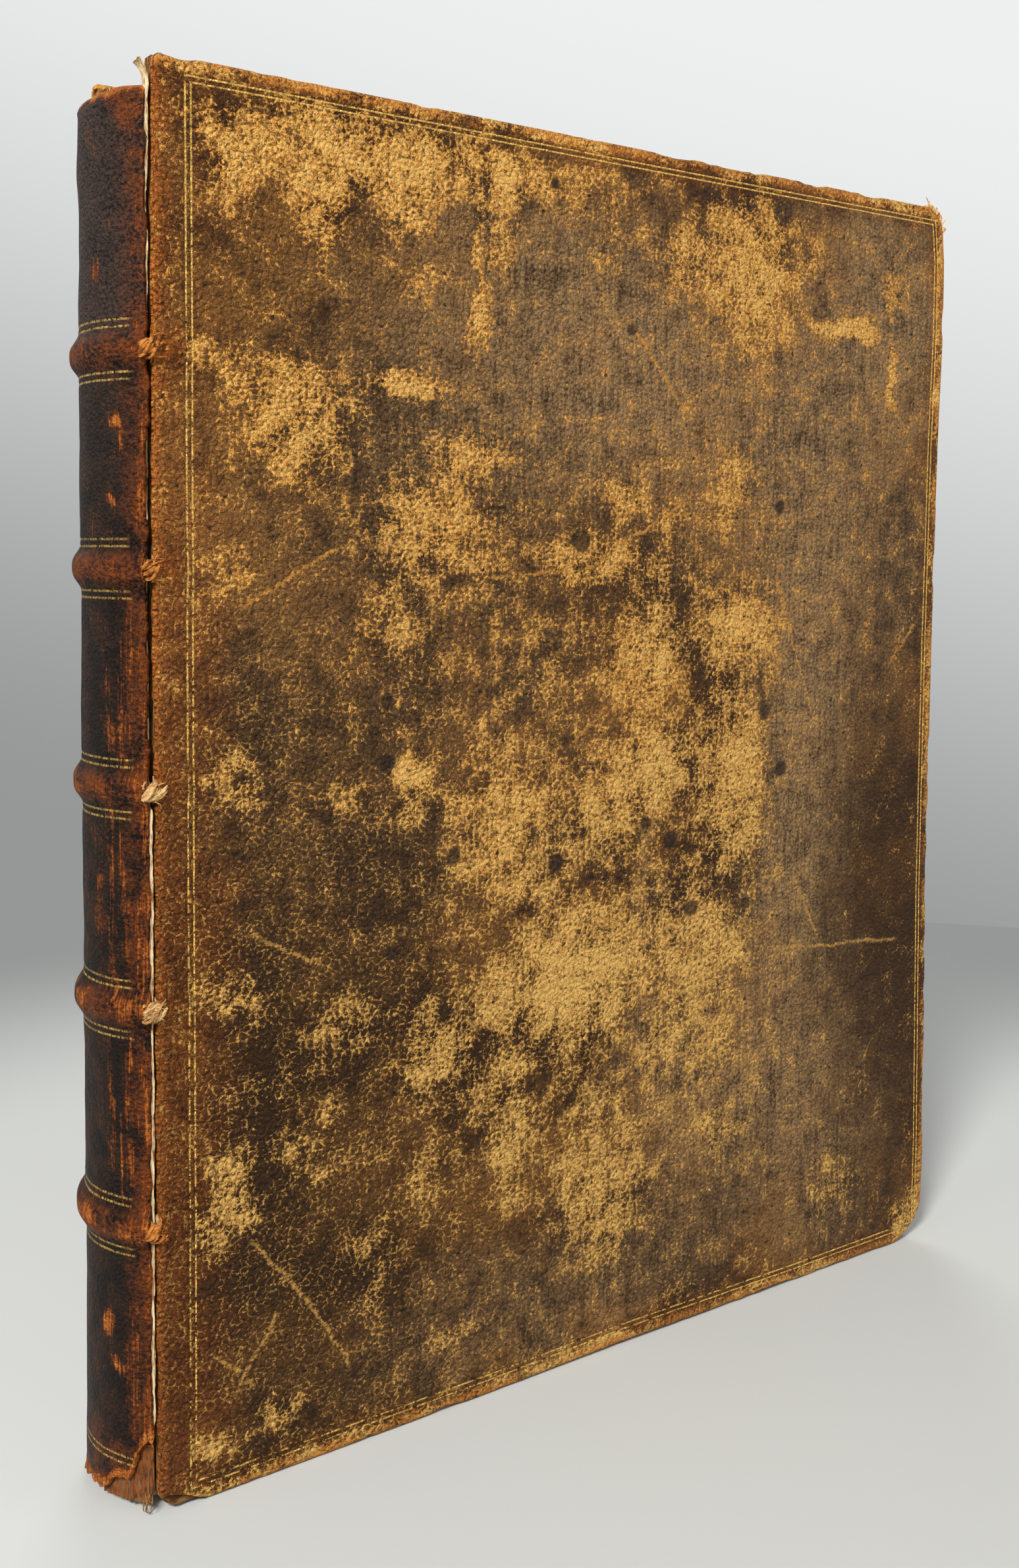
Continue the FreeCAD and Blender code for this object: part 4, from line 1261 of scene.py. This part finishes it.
class BOOK_OT_bare_board(bpy.types.Operator):
    """Models the front board with its bare layered corner at the joint"""

    bl_idname = "book.bare_board"
    bl_label = "Bare board"

    def execute(self, context):
        sizes = context.scene.book_sizes
        low, high = box_mm("front_board")
        # The board ends inside the leather of the fore-edge, with a tighter lower corner.
        short, tighter = 1.4, 1.0
        high[0] -= short
        middle = (low + high) / 2
        deselect()
        bpy.ops.mesh.primitive_cube_add(size=1, location=middle * MM, scale=(high - low) * MM)
        piece = context.object
        piece.name = "front_board_layers"
        bpy.ops.object.transform_apply(location=True, rotation=True, scale=True)
        corners = ((True, mm(sizes.worn_corner) - tighter, 8), (False, mm(sizes.rubbed_corner), 6))
        for lower, radius, segments in corners:
            x, _, z = points_of(piece).T
            beyond = z < middle[2] if lower else z > high[2] - 0.01
            with editing(piece, (x > middle[0]) & beyond):
                bpy.ops.mesh.bevel(offset=radius * MM, segments=segments, affect="EDGES")
        # New edges part the corner that is seen from the rest, and it gets a fine mesh.
        wide, tall = 18.0, 9.0
        for place, normal in (((low[0] + wide, 0, 0), (1, 0, 0)), ((0, 0, low[2] + tall), (0, 0, 1))):
            with editing(piece):
                bpy.ops.mesh.bisect(plane_co=np.array(place) * MM, plane_no=normal)
        x, _, z = points_of(piece).T
        with editing(piece, (x < low[0] + wide + 0.1) & (z < low[2] + tall + 0.1)):
            bpy.ops.mesh.subdivide(number_cuts=26)
        points = points_of(piece)
        u = points[:, 0] - low[0]
        z = points[:, 2] - low[2]
        layers = 2.2
        layer = points[:, 1] * layers
        near = soft_step(u, wide - 1, 6) * soft_step(z, tall - 0.5, 4)
        worn = ripple(layer, u * 0.2, 1, 31) * 0.7 + ripple(u, z + layer, 2.6, 32) * 0.5 + 0.6
        worn = near * np.clip(worn, 0, None)
        radius = 4.6
        past_u = np.clip(radius - u, 0, None)
        past_z = np.clip(radius - z, 0, None)
        past = np.hypot(past_u, past_z)
        pull = np.clip(past - radius, 0, None) / np.maximum(past, 1e-6)
        u = u + past_u * pull + worn * (u < 1.5)
        z = z + past_z * pull + worn * 0.5 * (z < 1.5)
        points[:, 1] += near * ripple(u, z, 2.0, 33) * 0.22 * (points[:, 1] < middle[1])
        points[:, 0] = low[0] + u
        points[:, 2] = low[2] + z
        put_points(piece, points)
        shut(piece)
        smooth(piece, 45)
        settle(piece, "front_cover", "pasteboard", "pasteboard", "front_board")
        return {"FINISHED"}


def joint_edge(z):
    """How far the torn cream strip reaches out of the front joint at each height."""
    reach = np.interp(
        z,
        [15, 19, 21, 60, 100, 138, 142, 146, 240, 246, 254, 262, 268, 284, 290],
        [0.6, 1.9, 2.3, 2.2, 2.3, 2.5, 2.6, 0.7, 0.7, 1.5, 1.5, 0.8, 2.1, 2.4, 2.6],
    )
    return reach + 0.30 * ripple(z, 0, 3.4, 101) + 0.22 * ripple(z, 0, 1.1, 102)


class BOOK_OT_torn_strip(bpy.types.Operator):
    """Models the cream strip of lining that stands in the cracked front joint"""

    bl_idname = "book.torn_strip"
    bl_label = "Torn strip"

    def execute(self, context):
        _, high = box_mm("joint_strip")
        middle = high[0] - 0.15
        foot = 18.5
        top = high[2] + 1.6
        curl_start, curl_radius, curl_turn = 284.0, 4.0, 1.05
        across, along = 7, 300
        piece, column, row = grid("cream_strip", across, along)
        run = foot + row / along * (top - foot)
        y = high[1] - column / across * joint_edge(run)
        turn = np.clip((run - curl_start) / curl_radius, 0, curl_turn)
        x = middle - curl_radius * (1 - np.cos(turn)) + 0.12 * ripple(run, y, 9, 103)
        z = np.minimum(run, curl_start) + curl_radius * np.sin(turn)
        z = z + (column / across) * 0.5 * ripple(run, 0, 2.3, 104)
        put_points(piece, columns(x, y, z))
        thicken(piece, 0.25)
        shut(piece)
        smooth(piece)
        settle(piece, "text", "torn_lining", "cream_strip", "joint_strip")
        return {"FINISHED"}


class BOOK_OT_endband(bpy.types.Operator):
    """Winds the head endband with two colours of thread"""

    bl_idname = "book.endband"
    bl_label = "Endband"

    def execute(self, context):
        sizes = context.scene.book_sizes
        low, high = box_mm("head_endband")
        core = (high[2] - low[2]) / 2
        ring = spine_axis(sizes) - low[0] - core
        reach = math.degrees(math.asin(min(high[1] / ring, 0.75)))
        turns, turn_rows, sides = 62, 6, 10
        along = turns * turn_rows
        piece, column, row = grid("endband_thread", sides, along)
        passed = row / along * 2 - 1
        spin = column / sides * math.tau
        wound = row / turn_rows + column / sides
        closing = np.sqrt(np.clip(1 - passed**40, 0, 1))
        thick = core * (0.84 + 0.16 * abs(np.sin(wound * math.pi))) * closing
        z = (low[2] + high[2]) / 2 + thick * np.sin(spin)
        put_points(piece, round_spine(sizes, passed * reach, ring + thick * np.cos(spin), z))
        keep_values(piece, "turn", wound)
        shut(piece)
        smooth(piece)
        settle(piece, "text", "endband_thread", "endband_thread", "head_endband")
        return {"FINISHED"}


# How much of each cord shows in the cracked front joint, from the tail up, and its finish.
CORDS = ((0.7, "torn_cord"), (1.0, "hemp"), (1.0, "hemp"), (0.35, "torn_cord"), (0.6, "torn_cord"))


class BOOK_OT_joint_cords(bpy.types.Operator):
    """Frays the sewing cords where they cross the cracked front joint"""

    bl_idname = "book.joint_cords"
    bl_label = "Joint cords"

    def execute(self, context):
        left, face, _ = box_mm("front_cover_leather")[0]
        joint = left - JOINT_GAP
        for number, (height, (shown, finish)) in enumerate(zip(BAND_HEIGHTS, CORDS), start=1):
            pick = np.random.default_rng(300 + number)
            paths = []
            widths = []
            # The twisted core, from under the spine leather to its frayed end.
            for _ in range(round(14 + 16 * shown)):
                reach = pick.uniform(0.6, 1.8 + 1.6 * shown)
                share = np.linspace(0, 1, 12)
                turn = pick.uniform(0, math.tau) + share * pick.uniform(2.0, 5.5)
                loose = pick.uniform(0.5, 1.9) * (1 + 0.35 * share * pick.uniform(-0.5, 1))
                run = joint - 2.4 + (reach + 2.4) * share
                depth = face + 0.9 - 0.5 * np.sin(share * math.pi) + loose * 0.62 * np.sin(turn)
                paths.append(columns(run, depth, height + loose * np.cos(turn)))
                widths.append(pick.uniform(0.4, 0.9))
            # Single loose fibres over it.
            for _ in range(round(5 + 6 * shown)):
                lift = pick.uniform(-1, 1)
                twist = pick.normal(0, 0.8, 4)
                paths.append(curve_through([
                    (joint - 1.0, face + 0.6, height + lift * 1.5),
                    (joint + 0.2, face - 0.5, height + lift * 1.9 + twist[0]),
                    (joint + 1.2 + twist[1], face - 0.7, height + lift * 2.3 + twist[2]),
                    (joint + pick.uniform(0.5, 3.6), face + 0.1, height + lift * 2.6 + twist[3]),
                ], 9))
                widths.append(pick.uniform(0.14, 0.34))
            piece = bundle(f"front_joint_cord_{number}", paths, widths)
            settle(piece, None, "hemp_cord", finish)
            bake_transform(piece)
        return {"FINISHED"}


class BOOK_OT_corner_fray(bpy.types.Operator):
    """Frays the torn leather at the front cover's upper corner"""

    bl_idname = "book.corner_fray"
    bl_label = "Corner fray"

    def execute(self, context):
        cover = Cover("front", context.scene.book_sizes)
        radius = cover.head_corner
        middle_u = cover.left + cover.width - radius + 0.6
        middle_z = cover.height - radius
        # Each fibre starts this far inside the corner's arc.
        sunk = 0.7
        stubs, fibres = 24, 34
        pick = np.random.default_rng(401)
        paths = []
        widths = []
        for number in range(fibres):
            turn = math.radians(pick.uniform(8, 86))
            depth = -cover.outer + pick.uniform(0.1, 2.4)
            reach = pick.uniform(0.1, 0.7) if number < stubs else pick.uniform(1.0, 2.6)
            bend = pick.normal(0, 0.35)
            share = np.array([0, 0.35, 0.7, 1])
            out = radius - sunk + share * (reach + sunk)
            across = middle_u + out * np.cos(turn + bend * share)
            along = middle_z + out * np.sin(turn + bend * share)
            paths.append(curve_through(columns(across, depth - 0.5 * share * math.sin(turn * 5), along), 7))
            widths.append(pick.uniform(0.8, 1.6) if number < stubs else pick.uniform(0.2, 0.4))
        settle(bundle("front_corner_fray", paths, widths), "front_cover", "cover_calf", "corner_fray")
        return {"FINISHED"}


class BOOK_OT_joints(bpy.types.Operator):
    """Models the sound rear joint and the paper hinges inside both covers"""

    bl_idname = "book.joints"
    bl_label = "Joints"

    def execute(self, context):
        sizes = context.scene.book_sizes
        joint = box_mm("rear_cover_leather")[0][0] - JOINT_GAP
        radius = mm(sizes.spine_radius)
        face = radius * math.sin(math.radians(SPINE_FRONT))
        self.leather(sizes, joint, radius, face)
        for side, name in ((-1, "front"), (1, "rear")):
            self.paper(side, name, joint)
        return {"FINISHED"}

    def leather(self, sizes, joint, radius, face):
        skin, foot, head, rows = 0.10, 2.2, 281.0, 420
        board = Cover("rear", sizes).outer
        # Round the spine's edge, over the joint and out on the board, with both ends dipped in.
        degrees = np.array([36.5, 38, 40, 42, 44, 45.5, 46.6])
        around = round_spine(sizes, degrees, radius + np.array([-0.3] + [skin] * 6), 0)[:, :2]
        over = [(joint - 0.15, face + 0.18), (joint + 0.2, face + 0.35)]
        on_board = [(joint + step, board + skin) for step in (0.8, 1.6, 2.6, 3.6, 4.6)]
        profile = [*around, *over, *on_board, (joint + 5.4, board - 0.25)]
        piece, points = ribbon("rear_joint_calf", profile, np.linspace(foot, head, rows))
        x, _, z = points.T
        share = soft_step(x, joint - 2.0, joint + 2.5)
        mound = sum(hump(z - height, 3.6) for height in BAND_HEIGHTS)
        rise = band_profile(z) * mm(sizes.band_rise) * (1 - share) + mound * 1.2 * share
        rise = rise * (1 - 0.25 * hump(x - joint, 0.8)) + 0.08 * ripple(x, z, 3, 111)
        slant = np.radians(np.clip((joint - x) * 18, 0, 46))
        points = points + columns(-rise * np.sin(slant) * 0.8, rise * math.cos(0.5), 0)
        put_points(piece, points)
        x, _, z = points.T
        worn = np.clip(0.35 + 0.35 * ripple(x, z, 5, 112), 0, 1)
        keep_values(piece, "wear", columns(worn, 0, 0.9, 0))
        keep_values(piece, "lay", columns(x, z, 0))
        face_out(piece, (0, 1, 0))
        thicken(piece, 0.5)
        smooth(piece)
        settle(piece, None, "spine_calf", "spine_calf")
        (joint - 0.7) * MM
        face * MM
        (joint + 1.2) * MM
        face * MM
        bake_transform(piece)

    def paper(self, side, name, joint):
        gap, foot, head, rows = 0.04, 5, 280, 12
        near = np.abs(box_mm(f"{name}_flyleaf"))[:, 1].max() + gap
        far = np.abs(box_mm(f"{name}_pastedown"))[:, 1].min() - gap
        turn = np.linspace(0, math.pi, 9)
        x = joint + 1.55 - 0.14 * np.sin(turn)
        y = (near + far) / 2 - (far - near) / 2 * np.cos(turn)
        leaf = [(joint + step, near) for step in (6.0, 3.5, 1.7)]
        paste = [(joint + step, far) for step in (1.7, 3.5, 6.0)]
        profile = np.array([*leaf, *zip(x, y), *paste]) * (1, side)
        sheet, _ = ribbon(f"{name}_hinge_paper", profile, np.linspace(foot, head, rows))
        smooth(sheet)
        settle(sheet, None, "endpaper", "endpaper")
        side * (near + 0.02) * MM
        side * (far - 0.02) * MM
        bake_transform(sheet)


class BOOK_OT_torn_tail(bpy.types.Operator):
    """Models the ragged layers and loose fibres under the torn tail of the spine"""

    bl_idname = "book.torn_tail"
    bl_label = "Torn tail"

    def execute(self, context):
        sizes = context.scene.book_sizes
        radius = mm(sizes.spine_radius - sizes.leather) - 0.05
        top = 14.6
        across, along = 90, 16
        piece, column, row = grid("tail_lining_rags", across, along)
        angle = (column / across * 2 - 1) * (SPINE_FRONT - 0.4)
        foot = 2.1 + 0.9 * spine_ripple(angle, 0, 2.4, 121) + 0.5 * spine_ripple(angle, 0, 0.8, 122)
        foot = np.maximum(foot + np.interp(angle, [-47, -40, -30, 0], [1.6, 0.4, 0, 0]), 1.0)
        z = foot + (top - foot) * (row / along) ** 0.8
        out = radius - 0.25 + 0.2 * spine_ripple(angle, z, 2.2, 123)
        out = out - 0.5 * (1 - row / along) * np.clip(0.4 + spine_ripple(angle, z, 3, 124), 0, 1)
        put_points(piece, round_spine(sizes, angle, out, z))
        face_out(piece, (-1, 0, 0))
        thicken(piece, 0.38)
        smooth(piece)
        settle(piece, "text", "torn_lining", "torn_lining")

        pick = np.random.default_rng(131)
        paths = []
        widths = []
        for _ in range(11):
            turn = pick.uniform(-46, -40)
            foot = pick.uniform(3.0, 5.5)
            x, y, _ = round_spine(sizes, np.array([turn]), radius, 0)[0]
            drop = pick.uniform(1.5, 3.0)
            paths.append(curve_through([
                (x, y, foot),
                (x - 0.4, y - 0.4, foot - drop * 0.4),
                (x - 0.5 + pick.normal(0, 0.3), y - 0.5, foot - drop * 0.8),
                (x - 0.2 + pick.normal(0, 0.6), y - 0.5 + pick.normal(0, 0.3), max(foot - drop, 0.6)),
            ], 8))
            widths.append(pick.uniform(0.16, 0.3))
        settle(bundle("tail_tuft", paths, widths), "text", "torn_lining", "board_fibre")
        return {"FINISHED"}


def world_light(scene, settings):
    """Plain even light, and a pale graded background for the camera and for reflections."""
    world = bpy.data.worlds.new("studio")
    scene.world = world
    world.use_nodes = True
    sky = Nodes(world.node_tree)
    across, along, up = sky.parts(sky.wire("ShaderNodeTexCoord", output="Generated"))
    # The backdrop's gradient leans a little to one side.
    height = up + across * 0.20 - along * 0.14
    beyond = across * math.sin(settings.yaw) + along * math.cos(settings.yaw)
    low = sky.mix(sky.step(beyond, 0.3, 0.8) * sky.step(up, -0.5, -0.3), settings.pale, settings.horizon)
    seen = sky.mix(sky.step(height, -0.24, 0.37), low, settings.sky)
    shown = sky.shown()
    # The light itself is dimmer than the backdrop that is seen.
    strength = shown * 0.64 + 0.36
    tint = sky.mix(shown, settings.studio, seen)
    glow = sky.node("ShaderNodeBackground", {}, {"Color": tint, "Strength": strength})
    sky.end("ShaderNodeOutputWorld", glow)


def floor_finish(settings):
    """A pale floor that keeps the shadow and fades into the backdrop far away."""
    finish = Finish("pale_floor")
    step = finish.step
    x, y, _ = finish.parts(finish.place())
    away = (x * x + y * y).root()
    beyond = x * math.sin(settings.yaw) + y * math.cos(settings.yaw)
    aside = abs(x * math.cos(settings.yaw) - y * math.sin(settings.yaw))
    # The grey of the photograph's backdrop lies only behind the object, seen from the camera.
    # Each fade runs between two distances in millimetres.
    backed = step(aside, 480, 310)
    behind = step(away, 200, 440) * step(beyond, 20, 140) * backed
    far = behind.most(step(away, 420, 780))
    tone = finish.mix(step(beyond, 0, 200) * backed, settings.pale, settings.horizon)
    matt = finish.wire("ShaderNodeBsdfDiffuse", {}, {"Color": settings.floor})
    glow = finish.wire("ShaderNodeEmission", {}, {"Color": tone, "Strength": 1.0})
    blend = finish.node("ShaderNodeMixShader", {}, {0: far * finish.shown(), 1: matt, 2: glow})
    finish.end("ShaderNodeOutputMaterial", blend)
    return finish.material


# Each lamp's place, its size and its power. All of them look at the middle of the book.
LAMPS = {
    "key": ((-0.95, -0.7, 1.0), 0.3, 27),
    "side": ((-1.25, 0.1, 0.5), 0.8, 2),
    "fill": ((0.8, -1.0, 0.4), 0.9, 4),
    "back": ((0.6, 1.1, 0.9), 0.9, 8),
}
LAMP_TARGET = (0, 0, 0.15)


def soft_lamp(name, place, size, power):
    deselect()
    bpy.ops.object.light_add(type="AREA", location=place)
    lamp = bpy.context.object
    lamp.name = name
    lamp.data.shape = "DISK"
    lamp.data.size = size
    lamp.data.energy = power
    aim = Vector(LAMP_TARGET) - Vector(place)
    lamp.rotation_euler = aim.to_track_quat("-Z", "Y").to_euler()


class BOOK_OT_stage(bpy.types.Operator):
    """Sets the pale floor, the soft light and the camera"""

    bl_idname = "book.stage"
    bl_label = "Stage"

    def execute(self, context):
        scene = context.scene
        settings = scene.book_stage
        scene.view_settings.view_transform = "Standard"
        deselect()
        nearer = settings.floor_beyond - settings.floor_radius
        middle = (nearer * math.sin(settings.yaw), nearer * math.cos(settings.yaw), 0)
        bpy.ops.mesh.primitive_circle_add(
            vertices=128, radius=settings.floor_radius, fill_type="NGON", location=middle
        )
        bpy.ops.object.transform_apply(location=True, rotation=True, scale=True)
        floor = bpy.context.object
        floor.name = "pale_floor"
        dress(floor, floor_finish(settings))
        world_light(scene, settings)
        for name, lamp in LAMPS.items():
            soft_lamp(name, *lamp)
        deselect()
        bpy.ops.object.camera_add()
        camera = context.object
        camera.name = "photo_view"
        turn, tilt, roll = settings.yaw, settings.pitch, settings.roll
        ahead = Vector((math.sin(turn) * math.cos(tilt), math.cos(turn) * math.cos(tilt), -math.sin(tilt)))
        right = Vector((math.cos(turn), -math.sin(turn), 0))
        up = right.cross(ahead)
        side = math.cos(roll) * right + math.sin(roll) * up
        top = math.cos(roll) * up - math.sin(roll) * right
        facing = Matrix((side, top, -ahead)).transposed().to_4x4()
        camera.matrix_world = Matrix.Translation(settings.eye) @ facing
        camera.data.sensor_width = 36
        camera.data.lens = settings.lens
        camera.data.shift_y = settings.shift
        camera.data.clip_start = 0.01
        scene.camera = camera
        return {"FINISHED"}


# The finish of each piece that keeps its modelled shape, by a part of its name.
PLAIN_FINISHES = {
    "pastedown": "endpaper",
    "flyleaf": "endpaper",
    "_board": "pasteboard",
    "sewing_cord": "hemp",
    "cord_slip": "hemp",
    "spine_lining": "lining",
}


class BOOK_OT_plain_pieces(bpy.types.Operator):
    """Gives the pieces that keep their modelled shape their paper, board and cord finishes"""

    bl_idname = "book.plain_pieces"
    bl_label = "Boards, papers and cords"

    def execute(self, context):
        for word, finish in PLAIN_FINISHES.items():
            for name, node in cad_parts.items():
                if word in name:
                    dress(node, finish_of(finish))
        return {"FINISHED"}


class BOOK_PT_panel(bpy.types.Panel):
    """Lists the steps and the settings of the book"""

    bl_label = "Antique calf book"
    bl_idname = "BOOK_PT_panel"
    bl_space_type = "VIEW_3D"
    bl_region_type = "UI"
    bl_category = "Book"

    def draw(self, context):
        for step in STEPS:
            self.layout.operator(step.bl_idname)
        for key in GROUPS:
            group = getattr(context.scene, key)
            box = self.layout.box()
            for name in group.__annotations__:
                box.prop(group, name)


STEPS = (
    BOOK_OT_stage,
    BOOK_OT_plain_pieces,
    BOOK_OT_cover_calf,
    BOOK_OT_spine_calf,
    BOOK_OT_page_block,
    BOOK_OT_bare_board,
    BOOK_OT_torn_strip,
    BOOK_OT_endband,
    BOOK_OT_joint_cords,
    BOOK_OT_corner_fray,
    BOOK_OT_joints,
    BOOK_OT_torn_tail,
)
GROUPS = {"book_sizes": BookSizes, "book_colours": BookColours, "book_stage": StageSettings}


def register():
    for kind in (*GROUPS.values(), *STEPS, BOOK_PT_panel):
        bpy.utils.register_class(kind)
    for name, group in GROUPS.items():
        setattr(bpy.types.Scene, name, bpy.props.PointerProperty(type=group))


def unregister():
    for name in GROUPS:
        delattr(bpy.types.Scene, name)
    for kind in (BOOK_PT_panel, *STEPS, *GROUPS.values()):
        bpy.utils.unregister_class(kind)


def main():
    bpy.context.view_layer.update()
    register()
    bpy.ops.book.stage()
    bpy.ops.book.plain_pieces()
    bpy.ops.book.cover_calf()
    bpy.ops.book.spine_calf()
    bpy.ops.book.page_block()
    bpy.ops.book.bare_board()
    bpy.ops.book.torn_strip()
    bpy.ops.book.endband()
    bpy.ops.book.joint_cords()
    bpy.ops.book.corner_fray()
    bpy.ops.book.joints()
    bpy.ops.book.torn_tail()


if __name__ == "__main__":
    main()
